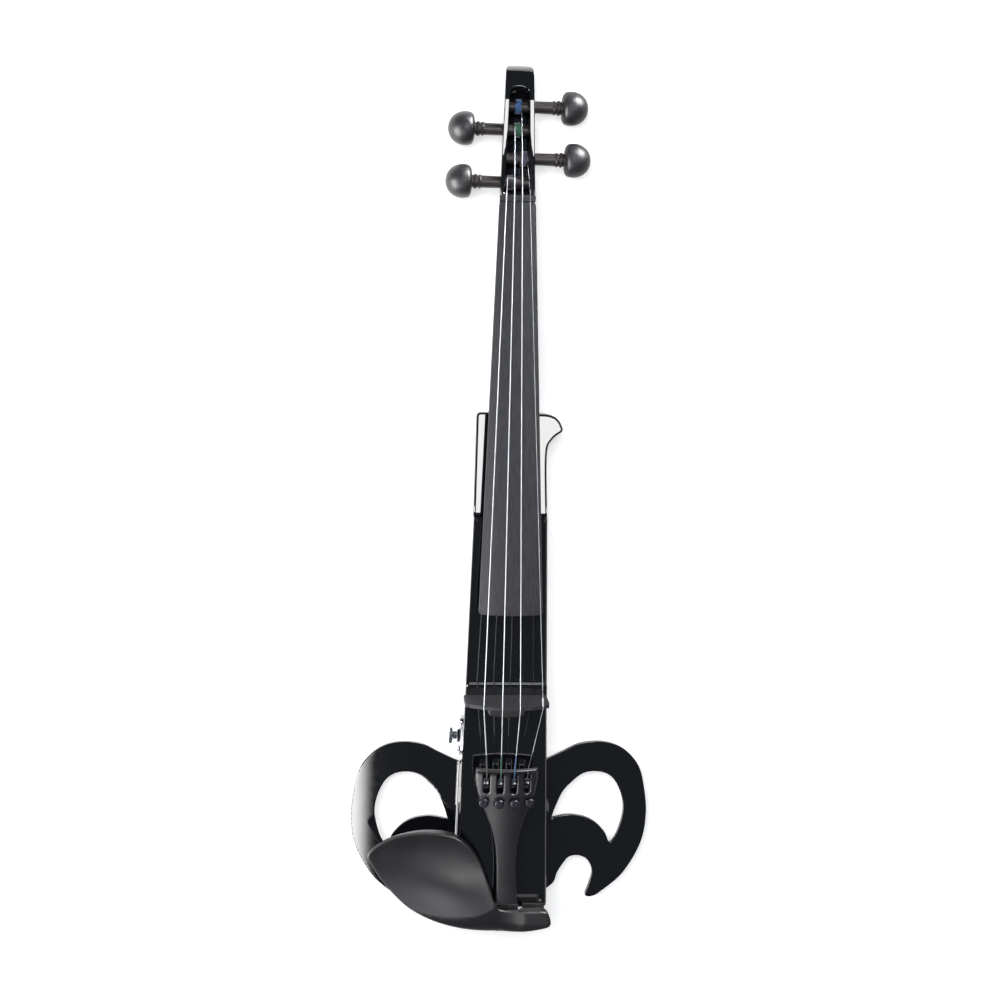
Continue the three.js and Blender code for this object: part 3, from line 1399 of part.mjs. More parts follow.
const atControl = (geometry, offset = 0) => onWall(geometry, -1, -controlReach + offset, controlHeight);
node('control_plate', atControl(controlPlate()), chrome, violin);
node('pot_nut', atControl(surface(nutRing(potNutRadius, potBushRadius + runningGap,
  plateFace + runningGap, nutFace))), chrome, violin);
node('volume_pot', atControl(surface(volumePot())), steel, violin);
node('volume_shaft', atControl(volumeShaft()), steel, violin);
node('volume_knob', atControl(volumeKnob()), chrome, violin);
['head', 'tail'].forEach((name, i) => {
  const offset = (i === 0 ? 1 : -1) * controlScrewSpacing / 2;
  const face = plateFace + runningGap;
  const screw = turned([
    [-controlScrewLength, 0], [-controlScrewLength, controlScrewShank], [face, controlScrewShank],
    [face, controlScrewRadius], [face + controlScrewHead * 0.4, controlScrewRadius],
    [face + controlScrewHead, controlScrewRadius * 0.5], [face + controlScrewHead, 0],
  ], 'x', 12);
  node(`plate_screw_${name}`, atControl(screw, offset), chrome, violin);
});

// Output jack, drawn with +X out of the wall

function jackSocket() {
  const back = -jackWall - seatGap;
  const body = rod('x', back - jackBodyLength, back, jackBodyRadius, 20);
  const bush = rod('x', back - jackBodyLength / 2, jackNutThickness + 2 * seatGap, jackBushRadius, 20);
  const bore = rod('x', back - jackBodyLength + jackNutThickness, cutOverrun * 2, jackBore, 20);
  return solid(body).add(solid(bush)).subtract(solid(bore));
}

node('jack_socket', onWall(surface(jackSocket()), 1, -jackReach, jackHeight), blackPlastic, violin);
node('jack_nut', onWall(surface(nutRing(jackNutRadius, jackBushRadius + runningGap,
  seatGap, seatGap + jackNutThickness)), 1, -jackReach, jackHeight), chrome, violin);

// Back cover, its screws, the board, the battery and its door

function backCover() {
  const plate = slab(roundedBox(coverHalf, coverTail, coverHead, barCornerRadius), seatGap,
    seatGap + coverThickness, 0, 1, 3);
  return coverScrewPlaces.reduce((rest, [x, y]) => rest.subtract(solid(
    turned([[-cutOverrun, 0], [-cutOverrun, coverScrewRadius + runningGap],
      [seatGap, coverScrewRadius + runningGap],
      [seatGap + coverThickness, coverScrewShank + runningGap],
      [cutOverrun, coverScrewShank + runningGap], [cutOverrun, 0]], 'z', 12).translate(x, y, 0))),
  solid(plate));
}

function coverScrew() {
  return turned([
    [seatGap, 0], [seatGap, coverScrewRadius], [seatGap + coverThickness, coverScrewShank],
    [seatGap + coverScrewLength, coverScrewShank], [seatGap + coverScrewLength, 0],
  ], 'z', 12);
}

node('back_cover', backCover(), blackPlastic, violin);
coverScrewPlaces.forEach(([x, y], i) => {
  node(`cover_screw_${i + 1}`, coverScrew().translate(x, y, 0), blackOxide, violin);
});
node('preamp_board', block(-boardHalfWidth, boardHalfWidth, -boardTailReach, -boardHeadReach,
  cavityDepth - seatGap - boardThickness, cavityDepth - seatGap), green, violin);

const batteryBase = doorThickness + 2 * seatGap;
node('battery', slab(roundedBox(batteryWidth / 2, batteryReach, batteryEnd, barCornerRadius),
  batteryBase, batteryBase + batteryHeight, plateEdgeRadius, 1, 3), blackOxide, violin);

function batteryDoor() {
  const plate = block(-doorHalf, doorHalf, doorTail, hingeY, seatGap, seatGap + doorThickness);
  const hinge = rod('x', -doorHingeHalfLength, doorHingeHalfLength, doorHingeRadius, 16)
    .translate(0, hingeY, hingeZ);
  return solid(plate).add(solid(hinge));
}

node('battery_door', batteryDoor(), blackPlastic, violin);

export default violin;
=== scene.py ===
import json
import math
import bmesh
import bpy
import numpy as np
from mathutils import Matrix, Vector
from mathutils.geometry import delaunay_2d_cdt


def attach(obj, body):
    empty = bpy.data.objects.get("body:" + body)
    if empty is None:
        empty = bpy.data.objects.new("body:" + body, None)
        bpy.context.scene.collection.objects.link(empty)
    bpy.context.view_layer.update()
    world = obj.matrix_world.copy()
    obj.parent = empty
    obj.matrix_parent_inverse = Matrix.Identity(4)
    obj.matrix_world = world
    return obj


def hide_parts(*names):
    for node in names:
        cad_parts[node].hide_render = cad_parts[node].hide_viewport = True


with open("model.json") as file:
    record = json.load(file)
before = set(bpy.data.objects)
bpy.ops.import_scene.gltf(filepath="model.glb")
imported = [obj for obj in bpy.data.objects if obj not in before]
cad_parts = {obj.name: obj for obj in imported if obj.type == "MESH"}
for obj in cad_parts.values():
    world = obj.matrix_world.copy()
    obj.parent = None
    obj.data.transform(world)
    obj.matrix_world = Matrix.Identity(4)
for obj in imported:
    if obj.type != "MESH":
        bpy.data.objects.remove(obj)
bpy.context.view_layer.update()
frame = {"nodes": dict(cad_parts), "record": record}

MM = 0.001


# Camera, fitted to points on the instrument whose real sizes are known

SENSOR_WIDTH = 36
PICTURE_PIXELS = 1000


def aim_camera():
    lean, tilt, roll = math.radians(5.47), math.radians(5.79), math.radians(1.43)
    distance, focal_pixels = 1000 * MM, 1489.7
    target = Vector((-5.85, 128.97, 20)) * MM
    back = Vector((-math.tan(lean), math.tan(tilt), 1)).normalized()
    forward = -back
    right = forward.cross(Vector((0, 1, 0))).normalized()
    up = right.cross(forward)
    right_rolled = right * math.cos(roll) + up * math.sin(roll)
    up_rolled = up * math.cos(roll) - right * math.sin(roll)
    data = bpy.data.cameras.new("camera")
    data.sensor_width = SENSOR_WIDTH
    data.lens = SENSOR_WIDTH * focal_pixels / PICTURE_PIXELS
    data.clip_start = 0.05
    camera = bpy.data.objects.new("camera", data)
    bpy.context.scene.collection.objects.link(camera)
    turn = Matrix((right_rolled, up_rolled, back)).transposed().to_4x4()
    camera.matrix_world = Matrix.Translation(target + back * distance) @ turn
    bpy.context.scene.camera = camera


aim_camera()


# Materials. A pattern's scale counts its repeats in a metre; beside each is the size it gives

LACQUER_RIPPLE = 60.0      # a swell in 17 mm, which the buffing wheel leaves
LACQUER_HAZE = 420.0       # patches of 2.4 mm
WOOD_ALONG, WOOD_ACROSS = 60, 900    # pores 17 mm long and 1.1 mm apart, drawn coarse to show
RUBBED_GRAIN = 1400.0      # 0.7 mm, drawn coarse to show
RUBBED_CLOUD = 45.0        # 22 mm, about the pad that rubs it
SCRATCH_ALONG = 300        # 3.3 mm long
SCRATCH_PITCH = 0.6        # millimetres from one scratch to the next, drawn coarse to show
RIBBON_RINGS = 625.0       # rings of a wave texture 0.5 mm apart, drawn coarse to show
SILK_FIBRE = (3000, 900, 900)        # 0.3 mm by 1.1 mm, drawn coarse to show
CORK_GRANULES = 900.0      # 1.1 mm
SPARK_GRAIN = 2200.0       # 0.5 mm
BOARD_TRACKS = 260.0       # 3.8 mm


def linear(code):
    parts = [int(code[i:i + 2], 16) / 255 for i in (1, 3, 5)]
    return (*(c / 12.92 if c <= 0.04045 else ((c + 0.055) / 1.055) ** 2.4 for c in parts), 1)


def add(tree, kind, links=None, **settings):
    node = tree.nodes.new(kind)
    for key, value in settings.items():
        if key in node.inputs:
            node.inputs[key].default_value = value
        else:
            setattr(node, key, value)
    for socket, source in (links or {}).items():
        tree.links.new(source, node.inputs[socket])
    return node


def finish(name, colour, roughness, **settings):
    material = bpy.data.materials.new(name)
    material.use_nodes = True
    tree = material.node_tree
    shader = tree.nodes["Principled BSDF"]
    shader.inputs["Base Color"].default_value = linear(colour)
    shader.inputs["Roughness"].default_value = roughness
    for key, value in settings.items():
        shader.inputs[key.replace("_", " ")].default_value = value
    place = add(tree, "ShaderNodeTexCoord").outputs["Object"]
    return material, tree, shader, place


def stretched(tree, place, x, y, z):
    return add(tree, "ShaderNodeMapping", {"Vector": place}, Scale=(x, y, z)).outputs[0]


def ramp(tree, source, stops):
    node = add(tree, "ShaderNodeValToRGB", {"Fac": source})
    elements = node.color_ramp.elements
    while len(elements) < len(stops):
        elements.new(0.5)
    for element, (position, colour) in zip(elements, stops):
        element.position = position
        element.color = linear(colour)
    return node.outputs["Color"]


def between(tree, source, low, high):
    ends = {"To Min": low, "To Max": high}
    return add(tree, "ShaderNodeMapRange", {"Value": source}, **ends).outputs[0]


def bump(tree, shader, height, depth_mm, strength=1.0):
    node = add(tree, "ShaderNodeBump", {"Height": height}, Strength=strength,
               Distance=depth_mm * MM)
    tree.links.new(node.outputs[0], shader.inputs["Normal"])


# Polyester piano lacquer, sprayed and buffed: deep black, a mirror gloss and a faint long ripple
def polyester_lacquer():
    material, tree, shader, place = finish("buffed_polyester_lacquer", "#0a0c10", 0.04, IOR=1.75)
    ripple = add(tree, "ShaderNodeTexNoise", {"Vector": place}, Scale=LACQUER_RIPPLE, Detail=1.0)
    haze = add(tree, "ShaderNodeTexNoise", {"Vector": place}, Scale=LACQUER_HAZE, Detail=3.0)
    tree.links.new(between(tree, haze.outputs["Fac"], 0.02, 0.06), shader.inputs["Roughness"])
    bump(tree, shader, ripple.outputs["Fac"], 0.01, 0.25)
    return material


# Dyed hardwood planed or turned and oiled: charcoal, matt, with fine straight pores along the grain
def dyed_hardwood(name, dark, light, roughness, along, gleam=0.5):
    material, tree, shader, place = finish(name, dark, roughness, IOR=1.5, Specular_IOR_Level=gleam)
    scales = {"x": (WOOD_ALONG, WOOD_ACROSS, WOOD_ACROSS),
              "y": (WOOD_ACROSS, WOOD_ALONG, WOOD_ACROSS)}[along]
    fibre = add(tree, "ShaderNodeTexNoise", {"Vector": stretched(tree, place, *scales)},
                Scale=1.0, Detail=6.0, Roughness=0.65)
    colour = ramp(tree, fibre.outputs["Fac"], [(0.3, dark), (0.72, light)])
    tree.links.new(colour, shader.inputs["Base Color"])
    tree.links.new(between(tree, fibre.outputs["Fac"], roughness - 0.07, roughness + 0.1),
                   shader.inputs["Roughness"])
    bump(tree, shader, fibre.outputs["Fac"], 0.05, 0.5)
    return material


# Moulded and hand-rubbed composite: soft satin sheen over a very fine grain
def rubbed_composite(name, colour, roughness):
    material, tree, shader, place = finish(name, colour, roughness, IOR=1.5)
    grain = add(tree, "ShaderNodeTexNoise", {"Vector": place}, Scale=RUBBED_GRAIN, Detail=4.0)
    cloud = add(tree, "ShaderNodeTexNoise", {"Vector": place}, Scale=RUBBED_CLOUD, Detail=3.0)
    tree.links.new(between(tree, cloud.outputs["Fac"], roughness - 0.12, roughness + 0.12),
                   shader.inputs["Roughness"])
    bump(tree, shader, grain.outputs["Fac"], 0.02, 0.5)
    return material


# Plated metal, with the fine scratches that handling leaves
def worked_metal(name, colour, roughness):
    material, tree, shader, place = finish(name, colour, roughness, Metallic=1.0)
    drawn = stretched(tree, place, SCRATCH_ALONG, 1 / (SCRATCH_PITCH * MM), SCRATCH_ALONG)
    scratch = add(tree, "ShaderNodeTexNoise", {"Vector": drawn}, Scale=1.0, Detail=4.0)
    tree.links.new(between(tree, scratch.outputs["Fac"], roughness * 0.7, roughness * 1.5),
                   shader.inputs["Roughness"])
    bump(tree, shader, scratch.outputs["Fac"], 0.01, 0.25)
    return material


# Flat ribbon wound on a core: the ribbon's edges are bumped as fine rings, and the rings are also
# painted lighter in the colour, a painted highlight where the edges catch light
def wound_string():
    material, tree, shader, place = finish("ribbon_wound_string", "#a0a3a8", 0.34, Metallic=1.0)
    rings = add(tree, "ShaderNodeTexWave", {"Vector": place}, Scale=RIBBON_RINGS,
                bands_direction="Y", Distortion=0.0)
    # The lighter band of each ring is a painted highlight, not a colour of the steel
    colour = ramp(tree, rings.outputs["Fac"], [(0.1, "#85888e"), (0.6, "#b4b7bc")])
    tree.links.new(colour, shader.inputs["Base Color"])
    bump(tree, shader, rings.outputs["Fac"], 0.08, 0.6)
    return material


# Silk thread lapped over the string's end: soft sheen, fibres across the winding
def lapped_silk(name, dark, light):
    material, tree, shader, place = finish(name, dark, 0.55, Sheen_Weight=0.5, Sheen_Roughness=0.4)
    fibre = add(tree, "ShaderNodeTexNoise", {"Vector": stretched(tree, place, *SILK_FIBRE)},
                Scale=1.0, Detail=3.0)
    colour = ramp(tree, fibre.outputs["Fac"], [(0.3, dark), (0.7, light)])
    tree.links.new(colour, shader.inputs["Base Color"])
    bump(tree, shader, fibre.outputs["Fac"], 0.06, 0.6)
    return material


# Pressed cork sheet: tan granules with dark seams
def pressed_cork():
    material, tree, shader, place = finish("pressed_cork", "#b08a5c", 0.85)
    grains = add(tree, "ShaderNodeTexVoronoi", {"Vector": place}, Scale=CORK_GRANULES)
    colour = ramp(tree, grains.outputs["Distance"],
                  [(0.1, "#c39c6b"), (0.55, "#a47c4f"), (0.8, "#5b3f26")])
    tree.links.new(colour, shader.inputs["Base Color"])
    bump(tree, shader, grains.outputs["Distance"], 0.2, 0.5)
    return material


# Moulded, drawn or coated polymer: one colour under an even fine texture
def textured_polymer(name, colour, roughness=0.55):
    material, tree, shader, place = finish(name, colour, roughness)
    grain = add(tree, "ShaderNodeTexNoise", {"Vector": place}, Scale=SPARK_GRAIN, Detail=2.0)
    bump(tree, shader, grain.outputs["Fac"], 0.06, 0.5)
    tree.links.new(between(tree, grain.outputs["Fac"], roughness - 0.08, roughness + 0.1),
                   shader.inputs["Roughness"])
    return material


# Glass-fibre board under a green mask, with the copper tracks just raised below it
def masked_board():
    material, tree, shader, place = finish("masked_circuit_board", "#123f2a", 0.35)
    tracks = add(tree, "ShaderNodeTexBrick", {"Vector": place}, Scale=BOARD_TRACKS)
    tracks.inputs["Color1"].default_value = linear("#14482f")
    tracks.inputs["Color2"].default_value = linear("#0f3a26")
    tracks.inputs["Mortar"].default_value = linear("#2c6b45")
    tree.links.new(tracks.outputs["Color"], shader.inputs["Base Color"])
    bump(tree, shader, tracks.outputs["Fac"], 0.05, 0.4)
    return material


# Every finish, by the slot that wears it
def make_finishes():
    return {
        "lacquer": polyester_lacquer(),
        # Planed and oiled: matt charcoal that shows its straight pores
        "ebony": dyed_hardwood("planed_dyed_maple", "#252528", "#333338", 0.6, "y", 0.18),
        # Turned and burnished: darker and shinier than the board
        "peg_wood": dyed_hardwood("turned_ebony", "#1d1718", "#2d2526", 0.34, "x"),
        # The pegs' domed ends, rubbed on end grain: a soft cloudy sheen
        "peg_head": rubbed_composite("rubbed_ebony_head", "#212024", 0.41),
        # Moulded and rubbed down: satin, cloudier where the pad went
        "satin_black": rubbed_composite("rubbed_black_composite", "#1b1a1e", 0.37),
        "string_steel": wound_string(),
        # Drawn polymer tube: milky and nearly smooth
        "sleeve": textured_polymer("clear_drawn_tube", "#c9cdd2", 0.25),
        # Zinc over turned steel: pale grey, half dull
        "screw_steel": worked_metal("zinc_plated_steel", "#b4b6b9", 0.3),
        # Black nickel over turned brass: dark, with glints on the edges
        "black_oxide": worked_metal("black_nickel_plate", "#333339", 0.34),
        # Bright chrome over polished brass: nearly a mirror
        "chrome": worked_metal("bright_chrome_plate", "#b9bcc1", 0.08),
        "cork": pressed_cork(),
        # Cork bonded with rubber: black and dead matt
        "pad": textured_polymer("rubbered_cork_pad", "#0a0a0b", 0.85),
        # ABS from a spark-eroded mould: an even dull black
        "black_plastic": textured_polymer("moulded_black_abs", "#18191b"),
        # Drawn nylon: black, barely shiny
        "tail_cord": textured_polymer("drawn_black_nylon", "#0b0b0d", 0.7),
        "silk_black": lapped_silk("black_silk", "#121317", "#26282e"),
        "silk_green": lapped_silk("green_silk", "#123a28", "#255f45"),
        "silk_blue": lapped_silk("blue_silk", "#1c3964", "#33639a"),
        "silk_purple": lapped_silk("purple_silk", "#2b2439", "#4a4060"),
        "circuit": masked_board(),
        # Printed and varnished tin: dark, half glossy
        "battery_case": textured_polymer("lithographed_steel_jacket", "#2a2b30", 0.35),
    }


finishes = make_finishes()
slots = {entry["node"]: entry["material_slot"] for entry in frame["record"]["subparts"]}


# Edges that a file or sandpaper has broken, in millimetres, on corners sharper than the angle
EASED = {"bridge": 0.35, "bridge_plinth": 0.3, "nut": 0.3}
EASE_ABOVE = math.radians(35)
SMOOTH_BELOW = math.radians(32)
FLAT_WEIGHT = 80


# Faces meet smoothly below the given angle, and large flats keep their own normal
def smooth_group():
    group = bpy.data.node_groups.new("smooth_below_angle", "GeometryNodeTree")
    group.interface.new_socket("Geometry", in_out="INPUT", socket_type="NodeSocketGeometry")
    group.interface.new_socket("Geometry", in_out="OUTPUT", socket_type="NodeSocketGeometry")
    start = group.nodes.new("NodeGroupInput")
    end = group.nodes.new("NodeGroupOutput")
    faces = add(group, "GeometryNodeSetShadeSmooth", {"Geometry": start.outputs[0]})
    angle = add(group, "GeometryNodeInputMeshEdgeAngle")
    gentle = add(group, "FunctionNodeCompare", {"A": angle.outputs["Unsigned Angle"]},
                 operation="LESS_THAN", B=SMOOTH_BELOW)
    edges = add(group, "GeometryNodeSetShadeSmooth",
                {"Geometry": faces.outputs[0], "Shade Smooth": gentle.outputs[0]}, domain="EDGE")
    group.links.new(edges.outputs[0], end.inputs[0])
    return group


smoothing = smooth_group()


def soften(obj):
    if obj.name in EASED:
        ease = obj.modifiers.new("eased_edges", "BEVEL")
        ease.width = EASED[obj.name] * MM
        ease.segments = 2
        ease.limit_method = "ANGLE"
        ease.angle_limit = EASE_ABOVE
    obj.modifiers.new("smooth", "NODES").node_group = smoothing
    weighted = obj.modifiers.new("flats", "WEIGHTED_NORMAL")
    weighted.keep_sharp = True
    weighted.weight = FLAT_WEIGHT


for name, obj in frame["nodes"].items():
    obj.data.materials.clear()
    obj.data.materials.append(finishes[slots[name]])
    soften(obj)


# Sizes of the real object in millimetres, as the solids have them

SEAT_GAP = 0.3
BAR_TOP = 38
STEP_REACH, TAIL_REACH = 119, 147.5
BAR_HALF_AT_STEP, BAR_HALF_AT_TAIL = 24.6, 31.1
STRING_STOP, NUT_BACK = 326, 329.8
BOARD_RADIUS, BRIDGE_RADIUS = 42, 43
BOARD_TOP_AT_NUT, BOARD_SLOPE, BOARD_EDGE = 32.4, 0.1, 4.5
BOARD_HALF_AT_NUT, BOARD_HALF_AT_END, BOARD_LENGTH = 11.9, 21, 269
HEAD_REACH = 415
PEGBOX_HALF_AT_NUT, PEGBOX_HALF_AT_HEAD, PEGBOX_LENGTH = 11.6, 9.2, 83
PEG_RADIUS, PEG_TAPER = 3.9, 60
PEG_HEAD_LENGTH, PEG_HEAD_RADIUS = 17.4, 11
NUT_SPACING = 5.2
PEG_REACH = {"g": 338.9, "e": 354.7, "d": 373.3, "a": 388.6}
PEG_HEAD_START = {"g": 29.6, "e": 31.4, "d": 28.4, "a": 29.2}
PEG_SIDE = {"g": -1, "d": -1, "a": 1, "e": 1}
STRING_SLOT = {"g": -1.5, "d": -0.5, "a": 0.5, "e": 1.5}
STRING_AT_BRIDGE = {"g": -17.4, "d": -5.6, "a": 6, "e": 21.4}
STRING_SEAT = {"g": 0.45, "d": 0.42, "a": 0.38, "e": 0.25}
STRING_RADIUS = {"g": 0.36, "d": 0.33, "a": 0.3, "e": 0.12}
SILK = {"g": "silk_black", "d": "silk_green", "a": "silk_blue", "e": "silk_purple"}


def mix(a, b, share):
    return a + (b - a) * share


def arc_drop(radius, x):
    return radius - np.sqrt(np.maximum(radius ** 2 - np.square(x), 0))


def bar_half(y):
    return BAR_HALF_AT_STEP + (STEP_REACH - y) * (BAR_HALF_AT_TAIL - BAR_HALF_AT_STEP) / (
        TAIL_REACH + STEP_REACH)


def board_top(y):
    return BOARD_TOP_AT_NUT + (STRING_STOP - y) * BOARD_SLOPE


def board_half(y):
    return mix(BOARD_HALF_AT_NUT, BOARD_HALF_AT_END, (STRING_STOP - y) / BOARD_LENGTH)


def board_bottom(y):
    return board_top(y) - arc_drop(BOARD_RADIUS, board_half(y)) - BOARD_EDGE


def pegbox_half(y):
    return mix(PEGBOX_HALF_AT_NUT, PEGBOX_HALF_AT_HEAD,
               np.clip((y - NUT_BACK) / PEGBOX_LENGTH, 0, 1))


def peg_height(y):
    cheek_at_nut, cheek_fall, below_cheek = 2.5, 7, 9.3
    fall = cheek_fall * (y - NUT_BACK) / (HEAD_REACH - NUT_BACK)
    return board_bottom(STRING_STOP) + cheek_at_nut - fall - below_cheek


# Mesh tools: curves, distances and the few ways in which the pieces are formed

TINY = 1e-12
ROW_CLEARANCE, GRID_CLEARANCE, SAME_POINT = 0.96, 0.45, 1e-4


def smooth_curve(points, steps=6, closed=False):
    points = np.array(points, float)
    count = len(points)
    spans = count if closed else count - 1
    curve = []
    for i in range(spans):
        pick = [(i + k) % count if closed else min(max(i + k, 0), count - 1)
                for k in (-1, 0, 1, 2)]
        a, b, c, d = points[pick]
        for t in np.arange(steps) / steps:
            curve.append(0.5 * (2 * b + (c - a) * t + (2 * a - 5 * b + 4 * c - d) * t ** 2
                                + (3 * b - 3 * c + d - a) * t ** 3))
    if not closed:
        curve.append(points[-1])
    return np.array(curve)


def evenly(curve, spacing, closed=True):
    ring = np.vstack([curve, curve[:1]]) if closed else np.array(curve, float)
    along = np.concatenate([[0], np.cumsum(np.linalg.norm(np.diff(ring, axis=0), axis=1))])
    marks = np.linspace(0, along[-1], max(4, round(along[-1] / spacing)) + 1)
    even = np.stack([np.interp(marks, along, ring[:, k]) for k in range(ring.shape[1])], axis=1)
    return even[:-1] if closed else even


def rounded_box(x0, x1, y0, y1, radius, steps=6):
    corners = [(x1 - radius, y0 + radius, -90), (x1 - radius, y1 - radius, 0),
               (x0 + radius, y1 - radius, 90), (x0 + radius, y0 + radius, 180)]
    turns = np.linspace(0, 90, steps + 1)
    return np.array([(x + radius * math.cos(math.radians(start + turn)),
                      y + radius * math.sin(math.radians(start + turn)))
                     for x, y, start in corners for turn in turns])


def distance(points, curves):
    nearest = np.full(len(points), np.inf)
    for curve in curves:
        start, run = curve[:-1], np.diff(curve, axis=0)
        share = ((points[:, None] - start) * run).sum(2) / np.maximum((run ** 2).sum(1), TINY)
        foot = start + np.clip(share, 0, 1)[..., None] * run
        nearest = np.minimum(nearest, np.linalg.norm(points[:, None] - foot, axis=2).min(1))
    return nearest


def inside(points, ring):
    x, y = points[:, :1], points[:, 1:2]
    start, end = ring, np.roll(ring, -1, axis=0)
    spans = (start[:, 1] > y) != (end[:, 1] > y)
    rise = end[:, 1] - start[:, 1] + TINY
    meets = start[:, 0] + (y - start[:, 1]) * (end[:, 0] - start[:, 0]) / rise
    return (spans & (x < meets)).sum(1) % 2 == 1


def loop(ring):
    return np.vstack([ring, ring[:1]])


def rounding(radius, depth):
    from_centre = radius - np.minimum(depth, radius)
    return radius - np.sqrt(np.maximum(radius ** 2 - np.square(from_centre), 0))


# A board cut to an outline, with holes and sunk pits, whose top, floor and base are given as
# heights over the plan; rows of points follow every edge, so that roundings stay clean
def board(outline, top, base, holes=(), pits=(), floor=None, rows=(0.3, 0.9, 1.8), grid=3.0,
          soft=None):
    rings = [outline, *holes, *pits]
    edges = [loop(ring) for ring in rings]
    rims = [loop(ring) for ring in (outline, *holes)] if soft is None else soft

    def within(points):
        keep = inside(points, outline)
        for hole in holes:
            keep &= ~inside(points, hole)
        return keep

    plan = [np.vstack(rings)]
    for row in rows:
        for ring in rings:
            along = np.roll(ring, -1, 0) - np.roll(ring, 1, 0)
            normal = np.stack([-along[:, 1], along[:, 0]], 1)
            normal /= np.maximum(np.linalg.norm(normal, axis=1, keepdims=True), 1e-9)
            for side in (-1, 1):
                shifted = ring + side * normal * row
                clear = distance(shifted, edges) > row * ROW_CLEARANCE
                plan.append(shifted[within(shifted) & clear])
    low, high = outline.min(0), outline.max(0)
    across, up = np.meshgrid(*(np.arange(low[k], high[k], grid) for k in (0, 1)))
    across[1::2] += grid / 2
    field = np.stack([across.ravel(), up.ravel()], 1)
    clear = distance(field, edges) > max(rows) + grid * GRID_CLEARANCE
    plan.append(field[within(field) & clear])
    plan = np.vstack(plan)
    joins, start = [], 0
    for ring in rings:
        joins += [(start + i, start + (i + 1) % len(ring)) for i in range(len(ring))]
        start += len(ring)
    cut = delaunay_2d_cdt([Vector(point) for point in plan], joins, [], 0, SAME_POINT)
    plan = np.array([point[:] for point in cut[0]])
    triangles = np.array([face for face in cut[2] if len(face) == 3])
    triangles = triangles[within(plan[triangles].mean(1))]
    new_index = {old: new for new, olds in enumerate(cut[3]) for old in olds}
    depth = distance(plan, rims)
    pit_depth = distance(plan, [loop(ring) for ring in pits]) if pits else depth
    x, y = plan.T
    count = len(plan)
    sunk = np.zeros(len(triangles), bool)
    for pit in pits:
        sunk |= inside(plan[triangles].mean(1), pit)
    sunk_floor = floor(x, y, pit_depth) if pits else np.zeros(count)
    levels = [top(x, y, depth, pit_depth), sunk_floor, base(x, y, depth)]
    points = np.vstack([np.stack([x, y, level + np.zeros(count)], 1) for level in levels])
    faces = [tuple(face) for face in triangles[~sunk]]
    faces += [tuple(face + count) for face in triangles[sunk]]
    faces += [tuple(face[::-1] + 2 * count) for face in triangles]
    start = 0
    for number, ring in enumerate(rings):
        lower = count if number > len(holes) else 2 * count
        for i in range(len(ring)):
            a, b = new_index[start + i], new_index[start + (i + 1) % len(ring)]
            faces.append((a + lower, b + lower, b, a))
        start += len(ring)
    return points, faces


def loft(rings):
    count = len(rings[0])
    faces = [(i * count + j, i * count + (j + 1) % count, (i + 1) * count + (j + 1) % count,
              (i + 1) * count + j) for i in range(len(rings) - 1) for j in range(count)]
    last = (len(rings) - 1) * count
    faces += [tuple(range(count)), tuple(last + j for j in range(count))]
    return np.vstack(rings), faces


def turned(profile, axis, sides=48, rim=None):
    order = {"x": (0, 1, 2), "y": (1, 0, 2), "z": (1, 2, 0)}[axis]
    rings = []
    for along, radius in profile:
        turns = np.arange(sides) / sides * 2 * math.pi
        reach = radius * (rim(along, turns) if rim else 1)
        parts = (np.full(sides, along), reach * np.cos(turns), reach * np.sin(turns))
        rings.append(np.stack([parts[k] for k in order], 1))
    return loft(rings)


def tube(path, radius, sides=12):
    path = np.array(path, float)
    run = np.gradient(path, axis=0)
    run /= np.linalg.norm(run, axis=1, keepdims=True)
    across = np.array([1.0, 0, 0]) if abs(run[0, 0]) < 0.9 else np.array([0, 0, 1.0])
    turns = np.arange(sides) / sides * 2 * math.pi
    radii = np.broadcast_to(radius, len(path))
    rings = []
    for point, along, size in zip(path, run, radii):
        across = across - along * (across @ along)
        across /= np.linalg.norm(across)
        up = np.cross(along, across)
        rings.append(point + size * (np.cos(turns)[:, None] * across + np.sin(turns)[:, None] * up))
    return loft(rings)


def moved(shape, x=0.0, y=0.0, z=0.0, turn=0.0):
    points, faces = shape
    c, s = math.cos(turn), math.sin(turn)
    spin = np.array([[c, -s, 0], [s, c, 0], [0, 0, 1]])
    return points @ spin.T + (x, y, z), faces


def together(*shapes):
    points, faces, start = [], [], 0
    for shape in shapes:
        points.append(shape[0])
        faces += [tuple(corner + start for corner in face) for face in shape[1]]
        start += len(shape[0])
    return np.vstack(points), faces


def piece(name, shape, slot, body="body", stands_for=(), look=None):
    points, faces = shape
    mesh = bpy.data.meshes.new(name)
    mesh.from_pydata([tuple(point) for point in points * MM], [],
                     [tuple(map(int, face)) for face in faces])
    work = bmesh.new()
    work.from_mesh(mesh)
    loose = [vert for vert in work.verts if not vert.link_faces]
    bmesh.ops.delete(work, geom=loose, context="VERTS")
    bmesh.ops.recalc_face_normals(work, faces=work.faces)
    work.to_mesh(mesh)
    work.free()
    obj = bpy.data.objects.new(name, mesh)
    bpy.context.scene.collection.objects.link(obj)
    mesh.materials.append(finishes[look or slot])
    soften(obj)
    if stands_for:
        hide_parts(*stands_for)
    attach(obj, body)


# Wings: scrolled boards, crisp on top and well rounded below, that sweep up into the bar's side

